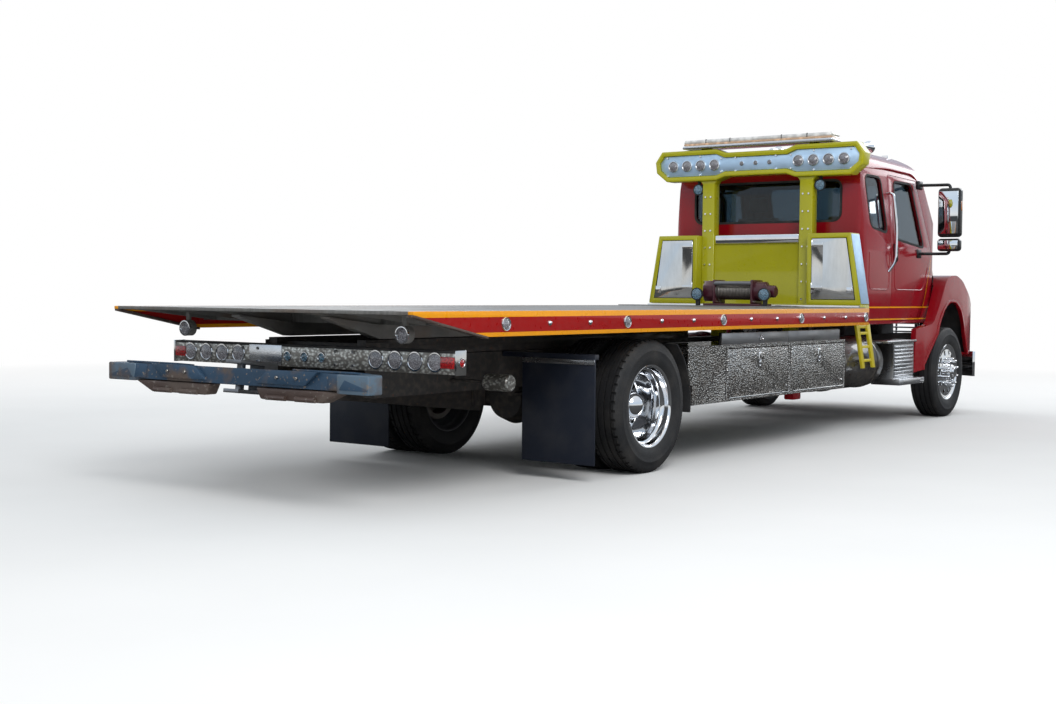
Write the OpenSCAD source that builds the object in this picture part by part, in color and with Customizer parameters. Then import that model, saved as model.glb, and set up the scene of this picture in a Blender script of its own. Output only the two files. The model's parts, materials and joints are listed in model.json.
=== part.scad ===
// Flatbed tow truck (rollback): a conventional cab, a flat deck that slides
// back and tilts, a headboard, side toolboxes and a stowed wheel lift.
// +X points forward, +Y to the driver's left, +Z up, and the wheels stand on
// Z = 0. Inside on_truck() every X is measured from the rear axle.

/* [Overall] */
// Distance between the front and rear axles
wheelbase = 6250; // [5600:50:7600]
// Rear axle to the back face of the wheel-lift bar
rear_overhang = 2900; // [2880:10:3500]
// Front axle to the face of the front bumper
front_overhang = 1050; // [1030:10:1280]
// Width over the rear tyres and the side boxes
body_w = 2440; // [2200:10:2930]

/* [Wheels] */
// Outer diameter of every tyre
tyre_d = 958; // [798:2:1150]
// Width of a tyre
tyre_w = 275; // [229:1:330]
// Diameter of the rim seat
rim_d = 571.5; // [480:0.5:600]
// Gap between the two tyres of a twin wheel
dual_gap = 40; // [30:1:60]
// Truck centre line to the middle of a front tyre
front_track_half = 1052; // [1040:1:1100]
// Number of hand holes in a rim
hand_holes = 10; // [5:1:12]

/* [Frame] */
// Height of the frame rails
rail_h = 260; // [220:5:280]
// Width of a frame rail's flange
rail_flange = 80; // [60:5:90]
// Wall of a frame rail
rail_t = 10; // [8:1:14]
// Width over the two frame rails
frame_w = 866; // [840:2:900]

/* [Deck] */
// Width of the deck over its side rails
deck_w = 2590; // [2160:10:3110]
// Rear axle to the deck's tail edge
deck_tail = 2720; // [2600:10:2800]
// Height of a side rail
side_rail_h = 154; // [130:1:185]
// Thickness of a side rail
side_rail_t = 40; // [30:1:50]
// Length of the tapered tail
taper_l = 690; // [575:5:830]
// Thickness of the deck plate
deck_t = 8; // [6:1:12]
// Height of the cross ribs under the deck plate
rib_h = 90; // [75:1:100]
// Height of the deck's two long sills
sill_h = 90; // [80:1:95]
// Width of a sill and of a tilt-frame rail
sill_w = 76; // [64:1:80]
// Height of a tilt-frame rail
tilt_rail_h = 100; // [85:1:110]
// Clearance between the tyres and the side rails above them
tyre_clear = 58; // [40:1:90]

/* [Cab] */
// Front axle back to the cab's rear wall
cab_back = 2040; // [1980:10:2200]
// Width of the cab at the belt line
cab_w = 2100; // [2040:10:2160]
// Height of the cab from its floor to the roof crown
cab_h = 1750; // [1460:10:2100]
// Thickness of the cab's walls and doors
cab_t = 60; // [45:1:70]
// Gap round each door
door_gap = 6; // [5:1:10]

/* [Headboard] */
// Height of the headboard's side boxes over the deck
board_box_h = 680; // [566:2:816]
// Half-width of the headboard at its foot
board_half_w = 1152; // [1100:2:1180]
// Depth of the headboard's side boxes
board_d = 215; // [180:1:215]
// Height of the light pod's middle over the deck
pod_z = 1410; // [1380:5:1500]

/* [Toolboxes] */
// Height of a side toolbox
box_h = 440; // [367:1:440]
// Depth of a side toolbox, inward from its doors
box_d = 520; // [430:5:560]
// Wall of a toolbox
box_t = 12; // [10:1:15]
// Thickness of a toolbox door
box_door_t = 24; // [20:1:30]

/* [Hidden] */

$fn = 48;
length = rear_overhang + wheelbase + front_overhang;
rear_axle_x = rear_overhang - length / 2;
move_gap = 6;      // clearance between pieces that move past each other
pin_gap = 1;       // clearance round a pin
tyre_r = tyre_d / 2;
axle_z = tyre_r;

// Heights are stacked upward from the tyres
side_rail_z = tyre_d + tyre_clear;
deck_z = side_rail_z + side_rail_h;
rib_z = deck_z - deck_t - rib_h;
sill_z = rib_z - sill_h;
tilt_rail_z = sill_z - 7 - tilt_rail_h;
frame_z = tilt_rail_z - 5;
frame_bottom = frame_z - rail_h;
frame_half = frame_w / 2;
cross_w = 80;      // length of a cross member along the frame
frame_rear = -2090;
frame_front = wheelbase + front_overhang - 160;
sill_y = frame_half - sill_w / 2 - 2;
winch_pad_t = 8;

// Tilt hinge at the tail of the frame
tilt_x = -2120;
tilt_z = tilt_rail_z + 35;
tilt_pin_r = 25;

// Wheel positions
outer_tyre_y = body_w / 2 - tyre_w / 2;
inner_tyre_y = outer_tyre_y - tyre_w - dual_gap;
kingpin_y = front_track_half - 192;
kingpin_r = 24;

// Cab
cab_x = wheelbase - cab_back;
cab_z = frame_z + 140;
cab_half = cab_w / 2;
roof_up = cab_h - 1750;
door_rear = 700;

// Hood and fenders, measured from the front axle
cowl_x = cab_x + 2130 + 12 - wheelbase;
cowl_z = cab_z + 700;
nose_x = front_overhang - 75;
fender_half = body_w / 2 - 30;

// Headboard and deck ends
board_x = cab_x - 325;
deck_front = board_x - 130;
pillar_x = board_x + 105;
pillar_w = 133;
pillar_y = 533;
board_foot_z = deck_z - 150;
cap_z = deck_z + pod_z - 180;
board_rim = 45;

// Toolboxes
box_rear = tyre_r + 91;
box_front = cab_x - 820;
box_top = frame_z + 20;
box_z = box_top - box_h;
box_y = body_w / 2;
box_door_rear = box_rear + 530;
box_split = box_door_rear + (box_front - box_door_rear) / 2;
box_rim = 26;

// Tilt cylinders, pinned to the frame at foot and reaching to eye
cyl_foot = [450, frame_bottom + 10];
cyl_eye = [1500, tilt_rail_z + 10];
cyl_y = 250;
cyl_angle = atan2(cyl_eye[1] - cyl_foot[1], cyl_eye[0] - cyl_foot[0]);
cyl_len = norm(cyl_eye - cyl_foot);
barrel_r = 55;
rod_r = 34;

// Wheel lift, its boom rising to the rear from the pivot
boom_x = -600;
boom_z = axle_z + 40;
boom_rise = 6.2;
boom_w = 180;
boom_h = 190;
boom_len = 1560;
stinger_w = 130;
stinger_h = 120;
bar_x = -rear_overhang + 100;
bar_z = boom_z + (boom_x - bar_x) * tan(boom_rise);
stinger_end = (boom_x - bar_x) / cos(boom_rise);
fork_socket_r = 27;

// ---------------------------------------------------------------- helpers

// Moves a piece from rear-axle coordinates to the part's own frame
module on_truck() translate([rear_axle_x, 0, 0]) children();

// Copies a piece to both sides of the truck
module both_sides() { children(); mirror([0, 1, 0]) children(); }

// A box given by its lowest and highest corners
module block(low, high) translate(low) cube(high - low);

// An outline in X and Z, extruded across the truck from y0 to y1
module side_extrude(y0, y1)
  translate([0, y1, 0]) rotate([90, 0, 0]) linear_extrude(y1 - y0) children();

// An outline in Y and Z, extruded forward from x0 to x1
module rear_extrude(x0, x1)
  translate([x0, 0, 0]) rotate([90, 0, 90]) linear_extrude(x1 - x0) children();

// A round bar across the truck, centred at y
module cross_bar(x, y, z, r, w)
  translate([x, y, z]) rotate([90, 0, 0]) cylinder(r = r, h = w, center = true);

// Points of an arc about c
function arc(c, r, a0, a1, n) =
  [for (i = [0:n]) c + r * [cos(a0 + (a1 - a0) * i / n), sin(a0 + (a1 - a0) * i / n)]];

// A rectangle with rounded corners
function round_rect(low, high, r, n = 5) = concat(
  arc([high[0] - r, low[1] + r], r, -90, 0, n), arc([high[0] - r, high[1] - r], r, 0, 90, n),
  arc([low[0] + r, high[1] - r], r, 90, 180, n), arc([low[0] + r, low[1] + r], r, 180, 270, n));

// An anticlockwise outline moved inward by t
function unit_dir(a, b) = (b - a) / norm(b - a);
function inward(p, t) = let (n = len(p)) [for (i = [0:n - 1])
  let (u = unit_dir(p[(i + n - 1) % n], p[i]), v = unit_dir(p[i], p[(i + 1) % n]),
       a = [-u[1], u[0]], b = [-v[1], v[0]]) p[i] + (a + b) * t / (1 + a * b)];

// ---------------------------------------------------------------- chassis

// Left frame rail: a channel open to the middle, with the tilt hinge's ear
module frame_rail() color([0.09, 0.09, 0.1]) {
  difference() {
    block([frame_rear, frame_half - rail_flange, frame_bottom], [frame_front, frame_half, frame_z]);
    block([frame_rear - 1, frame_half - rail_flange - 1, frame_bottom + rail_t],
          [frame_front + 1, frame_half - rail_t, frame_z - rail_t]);
  }
  difference() {
    block([tilt_x - 50, frame_half, frame_bottom + 60], [tilt_x + 160, frame_half + 15, tilt_z + 50]);
    cross_bar(tilt_x, frame_half, tilt_z, tilt_pin_r + pin_gap, 100);
  }
}
module left_frame_rail() on_truck() frame_rail();
module right_frame_rail() on_truck() mirror([0, 1, 0]) frame_rail();

// A cross member between the rails' webs
module cross_member(x, low, high)
  block([x, -frame_half + rail_t, low], [x + cross_w, frame_half - rail_t, high]);

// Cross members, and the ears and pins that the cylinders and the boom turn on
module cross_members() color([0.1, 0.1, 0.11]) on_truck() {
  low = frame_bottom + 90;
  high = frame_z - 30;
  for (x = [boom_x, cyl_foot[0] - 135, box_rear + 1500, cab_x - 500, cab_x + 500])
    cross_member(x, low, high);
  cross_member(frame_rear, frame_z - 80, frame_z - 20);
  cross_member(frame_front - cross_w, low - 60, high);
  both_sides() {
    for (y = [cyl_y - 52, cyl_y + 40])
      block([cyl_foot[0] - 55, y, cyl_foot[1] - 55], [cyl_foot[0] + 45, y + 12, cyl_foot[1] + 45]);
    block([cyl_foot[0] - 135, cyl_y - 52, cyl_foot[1] + 20], [cyl_foot[0] - 54, cyl_y + 52, low + 1]);
    for (y = [cyl_y - 52, cyl_y + 40])
      block([cyl_foot[0] - 56, y, cyl_foot[1] + 20], [cyl_foot[0] - 54, y + 12, cyl_foot[1] + 45]);
    block([boom_x - 60, boom_w / 2 + move_gap, boom_z - 60],
          [boom_x + 75, boom_w / 2 + move_gap + 16, low + 1]);
    cross_bar(cyl_foot[0], cyl_y, cyl_foot[1], 20, 104);
  }
  cross_bar(boom_x, 0, boom_z, 22, boom_w + 44);
}

// A stack of leaves lying along X, with its two hangers up to the frame
module leaf_pack(x, z, half, t) {
  for (i = [0:2])
    block([x - half * (1 - 0.25 * i), frame_half - 76, z + t * i],
          [x + half * (1 - 0.25 * i), frame_half - 4, z + t * (i + 1)]);
  for (s = [-1, 1])
    block([x + s * (half - 30) - 25, frame_half - 70, z + t], [x + s * (half - 30) + 25, frame_half - 10, frame_bottom]);
}

module front_axle() color([0.12, 0.12, 0.13]) on_truck() {
  beam_z = axle_z - 110;
  block([wheelbase - 50, -kingpin_y + 150, beam_z], [wheelbase + 50, kingpin_y - 150, beam_z + 80]);
  both_sides() {
    side_step = kingpin_y - 150;
    translate([wheelbase, 0, 0]) rear_extrude(-45, 45)
      polygon([[side_step, beam_z], [kingpin_y - 30, axle_z - 55], [kingpin_y - 30, axle_z + 55],
               [side_step, beam_z + 80]]);
    difference() {
      translate([wheelbase, kingpin_y, axle_z - 65]) cylinder(r = 42, h = 130);
      translate([wheelbase, kingpin_y, axle_z - 70]) cylinder(r = kingpin_r + pin_gap, h = 140);
    }
    leaf_pack(wheelbase, beam_z + 80, 640, 18);
  }
}

module rear_axle() color([0.12, 0.12, 0.13]) on_truck() {
  cross_bar(0, 0, axle_z, 75, 2 * inner_tyre_y - 60);
  both_sides() cross_bar(0, inner_tyre_y + 120, axle_z, 44, 330);
  translate([-130, 0, axle_z]) rotate([0, 90, 0]) cylinder(r1 = 150, r2 = 195, h = 130);
  translate([0, 0, axle_z]) rotate([0, 90, 0]) cylinder(r1 = 195, r2 = 80, h = 260);
  both_sides() leaf_pack(0, axle_z + 70, 640, 15);
  // propeller shaft up to the gearbox
  shaft = [cab_x + 560, axle_z + 170];
  translate([250, 0, axle_z]) rotate([0, 90 - atan2(shaft[1] - axle_z, shaft[0] - 250), 0])
    cylinder(r = 45, h = norm([shaft[0] - 250, shaft[1] - axle_z]));
}

module engine() color([0.3, 0.31, 0.32]) on_truck() {
  // low under the cab floor, and full height ahead of the cab
  block([cab_x + 1330, -290, frame_bottom + 30], [wheelbase + 680, 290, cab_z - 20]);
  block([cab_x + 2150, -290, cab_z - 21], [wheelbase + 680, 290, frame_z + 420]);
  translate([cab_x + 640, 0, axle_z + 170]) rotate([0, 90, 0]) cylinder(r1 = 110, r2 = 210, h = 700);
}

module exhaust() color([0.55, 0.55, 0.56]) on_truck() {
  // muffler and front pipe beside the propeller shaft
  exhaust_y = -240;
  translate([cab_x - 620, exhaust_y, frame_bottom - 30]) rotate([0, 90, 0]) cylinder(r = 100, h = 900);
  translate([cab_x + 280, exhaust_y, frame_bottom - 30]) rotate([0, 90, 0]) cylinder(r = 45, h = 700);
}

module fuel_tanks() on_truck() both_sides() {
  tank_r = 250;
  tank_y = board_half_w - 34 - move_gap - 12 - tank_r;   // just inside the ladders
  tank_z = frame_bottom + 30;
  color([0.14, 0.14, 0.15]) translate([box_front + 30, tank_y, tank_z]) rotate([0, 90, 0])
    cylinder(r = tank_r, h = cab_x + 370 - box_front);
  color([0.75, 0.76, 0.78]) for (x = [box_front + 260, cab_x + 250]) {
    translate([x, tank_y, tank_z]) rotate([0, 90, 0]) difference() {
      cylinder(r = tank_r + 8, h = 60);
      translate([0, 0, -1]) cylinder(r = tank_r, h = 62);
    }
    block([x, frame_half, tank_z - 30], [x + 60, tank_y - tank_r + 10, tank_z + 60]);
  }
}

module side_steps() color([0.8, 0.81, 0.83]) on_truck() both_sides() {
  rear = cab_x + 640;
  front = cab_x + 1190;
  step_z = axle_z - 20;
  // ribbed battery box with the upper step on it
  block([rear, frame_half + 90, step_z], [front, box_y - 110, frame_z - 50]);
  block([rear - 230, box_y - 330, frame_z - 50], [front, box_y - 80, frame_z - 25]);
  for (i = [0:8])
    block([rear + 30, box_y - 110, step_z + 20 + 36 * i], [front - 30, box_y - 100, step_z + 38 + 36 * i]);
  // lower step tread
  block([rear - 30, box_y - 330, step_z - 60], [front + 100, box_y - 30, step_z]);
  block([rear + 100, frame_half, step_z + 180], [rear + 200, frame_half + 90, step_z + 300]);
}

module bumper() color([0.86, 0.87, 0.89]) on_truck() {
  face = wheelbase + front_overhang;
  difference() {
    bumper_channel(face);
    block([face - 90, -250, axle_z + 20], [face + 10, 250, axle_z + 90]);
  }
}

// Bumper: a channel with swept ends
module bumper_channel(face) {
  low = axle_z - 80;
  w = body_w / 2 - 30;
  outline = [[face, -700], [face, 700], [face - 60, 1000], [face - 210, w], [face - 235, w - 20],
             [face - 100, 960], [face - 60, 690], [face - 60, -690], [face - 100, -960],
             [face - 235, -w + 20], [face - 210, -w], [face - 60, -1000]];
  translate([0, 0, low]) linear_extrude(280) polygon(outline);
  both_sides() block([frame_front - 90, frame_half, low + 60], [face - 55, frame_half + 14, low + 240]);
}

// ---------------------------------------------------------------- cab

// Cab outline seen from the right, measured from the rear wall and the floor
function cab_side() = [[0, 0], [2120, 0], [2130, 620], [2095, 770], [1680, 1500 + roof_up],
  [1530, 1655 + roof_up], [1250, 1735 + roof_up], [850, 1750 + roof_up], [400, 1742 + roof_up],
  [140, 1690 + roof_up], [35, 1560 + roof_up], [0, 1290]];

// Cab outline seen from behind, anticlockwise from the lower right
function cab_rear_half() = [[cab_half - 20, 0], [cab_half, 260], [cab_half, 700],
  [cab_half - 75, 1530 + roof_up], [cab_half - 130, 1630 + roof_up], [cab_half - 270, 1715 + roof_up],
  [cab_half - 600, 1755 + roof_up]];
function cab_rear() = concat(cab_rear_half(), [for (i = [len(cab_rear_half()) - 1:-1:0])
  [-cab_rear_half()[i][0], cab_rear_half()[i][1]]]);

// Cab outline seen from above, with rounded rear corners and a narrower nose
function cab_top() = concat([[2130, -cab_half + 110], [2130, cab_half - 110], [1850, cab_half]],
  arc([110, cab_half - 110], 110, 90, 180, 4), arc([110, -cab_half + 110], 110, 180, 270, 4),
  [[1850, -cab_half]]);

module cab_solid(t) translate([cab_x, 0, cab_z]) intersection() {
  side_extrude(-cab_half, cab_half) polygon(inward(cab_side(), t));
  rear_extrude(-1, 2140) polygon(inward(cab_rear(), t));
  linear_extrude(3 * cab_h) polygon(inward(cab_top(), t));
}

// Door outline seen from the side, measured from the cab's rear wall and floor
function door_outline() = [[door_rear, 35], [1540, 35], [1800, 560], [1800, 790],
  [1480, 1475 + roof_up], [door_rear, 1490 + roof_up]];
function door_window() = [[door_rear + 170, 860], [1580, 800], [1360, 1395 + roof_up],
  [1310, 1420 + roof_up], [door_rear + 210, 1425 + roof_up], [door_rear + 170, 1385 + roof_up]];
function quarter_window() = [[210, 960], [570, 920], [600, 950], [520, 1420 + roof_up],
  [490, 1440 + roof_up], [170, 1440 + roof_up], [140, 1410 + roof_up]];
function rear_window() = round_rect([-790, 1015], [790, 1390 + roof_up], 60);
function windscreen() = [[-860, 810], [860, 810], [790, 1460 + roof_up], [-790, 1460 + roof_up]];

module cab_frame() translate([cab_x, 0, cab_z]) children();

module cab_wall() difference() { cab_solid(0); cab_solid(cab_t); }

// Both door outlines cut across the whole cab, wide by grow
module door_cutter(grow) cab_frame()
  side_extrude(-cab_half - 10, cab_half + 10) polygon(inward(door_outline(), -grow));

module cab_shell() color([0.5, 0.02, 0.05]) on_truck() {
  difference() {
    cab_wall();
    door_cutter(door_gap);
    cab_frame() {
      side_extrude(-cab_half - 10, cab_half + 10) polygon(quarter_window());
      rear_extrude(-10, 300) polygon(rear_window());
      rear_extrude(1500, 2200) polygon(windscreen());
    }
  }
  // mounts down to the frame
  both_sides() for (x = [120, 1900])
    block([cab_x + x, frame_half - 80, frame_z], [cab_x + x + 120, frame_half, cab_z + 1]);
}

// Glass sheets lying inside the wall's thickness
module glass_skin() difference() { cab_solid(18); cab_solid(26); }

module cab_glass() color([0.35, 0.5, 0.6, 0.5]) on_truck() {
  intersection() {
    glass_skin();
    union() {
      cab_frame() {
        for (y = [[-cab_half - 10, -cab_half + 160], [cab_half - 160, cab_half + 10]])
          side_extrude(y[0], y[1]) polygon(quarter_window());
        rear_extrude(-10, 100) polygon(rear_window());
        rear_extrude(1500, 2200) polygon(windscreen());
      }
    }
  }
}

module cab_seats() color([0.16, 0.16, 0.18]) on_truck() cab_frame() {
  both_sides() {
    block([950, 250, cab_t], [1350, 790, 330]);
    block([920, 250, 330], [1430, 790, 470]);
    side_extrude(265, 775) polygon([[900, 470], [1040, 470], [930, 1120], [810, 1120]]);
    side_extrude(400, 640) polygon([[830, 1140], [910, 1140], [880, 1330], [805, 1330]]);
  }
  // rear bench against the back wall
  block([cab_t + 20, -780, cab_t], [560, 780, 420]);
  side_extrude(-780, 780) polygon([[cab_t + 20, 420], [230, 420], [150, 940], [cab_t + 20, 940]]);
}

module dashboard() color([0.12, 0.12, 0.13]) on_truck() cab_frame() {
  side_extrude(-900, 900)
    polygon([[1860, 300], [2030, 300], [2040, 700], [1960, 770], [1800, 770], [1740, 700], [1760, 560]]);
  // steering column and wheel, raked toward the driver
  translate([1760, 480, 640]) rotate([0, -62, 0]) {
    translate([0, 0, -60]) cylinder(r = 32, h = 250);
    translate([0, 0, 190]) cylinder(r = 60, h = 26);
    translate([0, 0, 200]) rotate_extrude() translate([205, 0]) circle(r = 16, $fn = 24);
    for (a = [0, 130, 230]) rotate([0, 0, a]) translate([40, -16, 193]) cube([160, 32, 12]);
  }
  // pedal floor box
  block([1700, -300, cab_t], [2030, 300, 300]);
}

// Height of the roof's front slope, with a hair of clearance
function roof_line(x) = 1735.3 + roof_up - 80 * (x - 1250) / 280;

module roof_lamps() color([0.85, 0.85, 0.87]) on_truck() cab_frame() {
  for (y = [-700, -170, 0, 170, 700])
    side_extrude(y - 38, y + 38) polygon([[1315, roof_line(1315)], [1440, roof_line(1440)],
      [1405, roof_line(1405) + 42], [1370, roof_line(1370) + 50], [1335, roof_line(1335) + 40]]);
  both_sides() translate([1180, 520, 1740 + roof_up]) {
    cylinder(r = 24, h = 60);
    translate([-60, 0, 105]) rotate([0, 90, 0]) cylinder(r1 = 68, r2 = 60, h = 150);
  }
}

module door(side) color([0.5, 0.02, 0.05]) on_truck() difference() {
  intersection() {
    cab_wall();
    door_cutter(0);
    block([0, side > 0 ? cab_half - 220 : -cab_half - 20, 0], [2 * wheelbase, side > 0 ? cab_half + 20 : -cab_half + 220, 5000]);
  }
  cab_frame() side_extrude(-cab_half - 10, cab_half + 10) polygon(door_window());
}
module left_door() door(1);
module right_door() door(-1);

module door_glass(side) color([0.35, 0.5, 0.6, 0.5]) on_truck() intersection() {
  glass_skin();
  cab_frame() side_extrude(side > 0 ? cab_half - 220 : -cab_half - 20, side > 0 ? cab_half + 20 : -cab_half + 220)
    polygon(door_window());
}
module left_door_glass() door_glass(1);
module right_door_glass() door_glass(-1);

// Half-width of the cab's side at a height, with a hair of clearance
function door_face(z) = cab_half + 1.5 - (z > 700 ? 75 * (z - 700) / (830 + roof_up) : 0);

// Mirror on two arms, standing out from the door's front corner
module side_mirror() color([0.07, 0.07, 0.08]) on_truck() cab_frame() {
  x = 1470;
  for (z = [690, 1400 + roof_up]) {
    rear_extrude(x - 100, x) polygon([[door_face(z), z], [cab_half + 40, z],
      [cab_half + 40, z + 60], [door_face(z + 60), z + 60]]);
    side_extrude(cab_half + 20, cab_half + 60) polygon([[x - 60, z + 10], [x + 40, z + 10],
      [x + 40, z + 50], [x - 60, z + 50]]);
    block([x, cab_half + 20, z + 10], [x + 40, cab_half + 400, z + 50]);
  }
  translate([0, 0, 740]) linear_extrude(660 + roof_up)
    polygon(round_rect([x - 60, cab_half + 190], [x + 70, cab_half + 430], 45));
}
module left_mirror() side_mirror();
module right_mirror() mirror([0, 1, 0]) side_mirror();

// ---------------------------------------------------------------- hood

// Hood centre line profile, measured from the front axle and the ground
function hood_centre() = [[cowl_x, axle_z + 300], [nose_x - 15, axle_z + 300], [nose_x, cab_z + 140],
  [nose_x - 50, cab_z + 280], [nose_x - 170, cab_z + 400], [nose_x - 480, cab_z + 560],
  [cowl_x, cowl_z]];
// Fender profile from the skirt behind the wheel round to the nose
function fender_side() = [[-830, axle_z + 25], [nose_x - 60, axle_z + 210],
  [nose_x - 15, axle_z + 380], [nose_x - 30, axle_z + 640], [560, axle_z + 850],
  [380, axle_z + 980], [180, axle_z + 1040], [-60, axle_z + 1030], [-160, axle_z + 960],
  [-430, axle_z + 520], [-800, axle_z + 470]];
// Wheel arch: a tall round-topped opening
function arch(grow) = concat([[-600 - grow, -axle_z - 10], [600 + grow, -axle_z - 10], [610 + grow, 90]],
  arc([60, 360], 390 + grow, 8, 172, 10), [[-610 - grow, 90]]);

module hood() color([0.5, 0.02, 0.05]) on_truck() translate([wheelbase, 0, 0]) difference() {
  union() {
    intersection() {
      side_extrude(-950, 950) polygon(hood_centre());
      linear_extrude(3000) polygon([[cowl_x, -900], [nose_x - 300, -760], [nose_x, -560],
        [nose_x, 560], [nose_x - 300, 760], [cowl_x, 900]]);
    }
    intersection() {
      fender_pair();
      linear_extrude(3000) polygon([[-840, -cab_half - 60], [-500, -cab_half - 100], [-250, -fender_half],
        [600, -fender_half], [nose_x - 120, -fender_half + 60], [nose_x, -900], [nose_x, 900],
        [nose_x - 120, fender_half - 60], [600, fender_half], [-250, fender_half],
        [-500, cab_half + 100], [-840, cab_half + 60]]);
    }
  }
  // engine bay, open below and behind
  intersection() {
    side_extrude(-880, 880) polygon(concat([[cowl_x - 50, 0], [nose_x - 40, 0]],
      [for (i = [1:6]) inward(hood_centre(), 25)[i]], [[cowl_x - 50, cowl_z - 40]]));
    linear_extrude(3000) polygon([[cowl_x - 60, -860], [nose_x - 300, -730], [nose_x - 25, -530],
      [nose_x - 25, 530], [nose_x - 300, 730], [cowl_x - 60, 860]]);
  }
  // hollow fenders and the two arches
  intersection() {
    side_extrude(-fender_half + 25, fender_half - 25) polygon(inward(fender_side(), 25));
    block([-820, -fender_half + 30, 0], [nose_x - 60, fender_half - 30, 3000]);
  }
  side_extrude(-fender_half - 10, fender_half + 10) translate([0, axle_z]) polygon(arch(0));
  // room for the cab, its doors and the radiator grille
  translate([-wheelbase, 0, 0]) cab_solid(-12);
  block([-2000, -cab_half - 12, axle_z], [cowl_x - 12, cab_half + 12, cab_z + 400]);
  rear_extrude(nose_x - 200, nose_x + 20) polygon(grille_outline());
  for (s = [-1, 1]) rear_extrude(nose_x - 200, nose_x + 20) translate([s * 790, 0])
    polygon(round_rect([-150, cab_z - 170], [150, cab_z + 20], 40));
}
function grille_outline() = round_rect([-500, cab_z - 190], [500, cab_z + 150], 60);
module fender_pair() for (s = [-1, 1])
  side_extrude(s > 0 ? 640 : -fender_half, s > 0 ? fender_half : -640) polygon(fender_side());

module front_lamps() color([0.8, 0.82, 0.85]) on_truck() translate([wheelbase, 0, 0]) {
  // radiator grille with bars, and the two headlamps
  difference() {
    rear_extrude(nose_x - 60, nose_x - 12) polygon(inward(grille_outline(), 3));
    for (i = [0:4]) block([nose_x - 70, -440, cab_z - 155 + 60 * i], [nose_x - 30, 440, cab_z - 120 + 60 * i]);
  }
  for (s = [-1, 1]) rear_extrude(nose_x - 190, nose_x - 100) translate([s * 790, 0])
    polygon(round_rect([-147, cab_z - 167], [147, cab_z + 17], 38));
}

// ---------------------------------------------------------------- wheels

function tyre_outline(r, w) = [[rim_d / 2, -w * 0.36], [rim_d / 2 + 22, -w * 0.44], [rim_d / 2 + 70, -w * 0.49],
  [rim_d / 2 + 115, -w * 0.5], [r - 42, -w * 0.475], [r - 12, -w * 0.43], [r, -w * 0.38],
  [r, w * 0.38], [r - 12, w * 0.43], [r - 42, w * 0.475], [rim_d / 2 + 115, w * 0.5],
  [rim_d / 2 + 70, w * 0.49], [rim_d / 2 + 22, w * 0.44], [rim_d / 2, w * 0.36]];

// A tyre on the Y axis, centred at y
module tyre(x, y) color([0.05, 0.05, 0.055]) translate([x, y, axle_z]) rotate([90, 0, 0])
  rotate_extrude($fn = 96) polygon(tyre_outline(tyre_r, tyre_w));

// A rim on the Y axis with its disc at disc_y from the tyre's middle; out is +1
// where the disc's dished side faces away from the truck
module rim(x, y, disc_y, hub_r) translate([x, y, axle_z]) rotate([-90, 0, 0]) difference() {
  rotate_extrude($fn = 96) polygon([[rim_d / 2 - 14, -tyre_w * 0.36], [rim_d / 2 + 14, -tyre_w * 0.435],
    [rim_d / 2 + 14, -tyre_w * 0.42], [rim_d / 2, -tyre_w * 0.36], [rim_d / 2, tyre_w * 0.36],
    [rim_d / 2 + 14, tyre_w * 0.42], [rim_d / 2 + 14, tyre_w * 0.435], [rim_d / 2 - 14, tyre_w * 0.36],
    [rim_d / 2 - 14, disc_y + 14], [hub_r, disc_y + 10], [hub_r, disc_y - 10], [rim_d / 2 - 14, disc_y - 14]]);
  for (i = [0:hand_holes - 1]) rotate([0, 0, 360 * i / hand_holes])
    translate([rim_d / 2 - 62, 0, disc_y - 30]) cylinder(r = 22, h = 60);
}

// Front wheel on the left: disc near the outer face, hub and brake drum behind
module front_rim() color([0.82, 0.84, 0.87]) {
  rim(wheelbase, front_track_half, 95, 82);
  translate([wheelbase, front_track_half, axle_z]) rotate([-90, 0, 0]) difference() {
    union() {
      translate([0, 0, -70]) cylinder(r = 200, h = 155);
      translate([0, 0, 60]) cylinder(r = 82, h = 100);
    }
    translate([0, 0, -71]) cylinder(r = 40 + pin_gap, h = 120);
    translate([0, 0, -71]) cylinder(r = 160, h = 70);
  }
}
module front_left_rim() on_truck() front_rim();
module front_right_rim() on_truck() mirror([0, 1, 0]) front_rim();
module front_left_tyre() on_truck() tyre(wheelbase, front_track_half);
module front_right_tyre() on_truck() mirror([0, 1, 0]) tyre(wheelbase, front_track_half);

// Twin rims on the left, bolted disc to disc on one hub
module twin_rims() color([0.82, 0.84, 0.87]) {
  middle = (outer_tyre_y + inner_tyre_y) / 2;
  half = (outer_tyre_y - inner_tyre_y) / 2;
  rim(0, outer_tyre_y, -half + 17, 110);
  rim(0, inner_tyre_y, half - 17, 110);
  translate([0, middle, axle_z]) rotate([-90, 0, 0]) difference() {
    union() {
      translate([0, 0, -170]) cylinder(r = 200, h = 145);
      translate([0, 0, -30]) cylinder(r = 110, h = 60);
      translate([0, 0, 30]) cylinder(r1 = 100, r2 = 60, h = 130);
    }
    translate([0, 0, -171]) cylinder(r = 44 + pin_gap, h = 300);
    translate([0, 0, -171]) cylinder(r = 160, h = 120);
  }
}
module rear_left_rims() on_truck() twin_rims();
module rear_right_rims() on_truck() mirror([0, 1, 0]) twin_rims();
module twin_tyres() { tyre(0, outer_tyre_y); tyre(0, inner_tyre_y); }
module rear_left_tyres() on_truck() twin_tyres();
module rear_right_tyres() on_truck() mirror([0, 1, 0]) twin_tyres();

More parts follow.
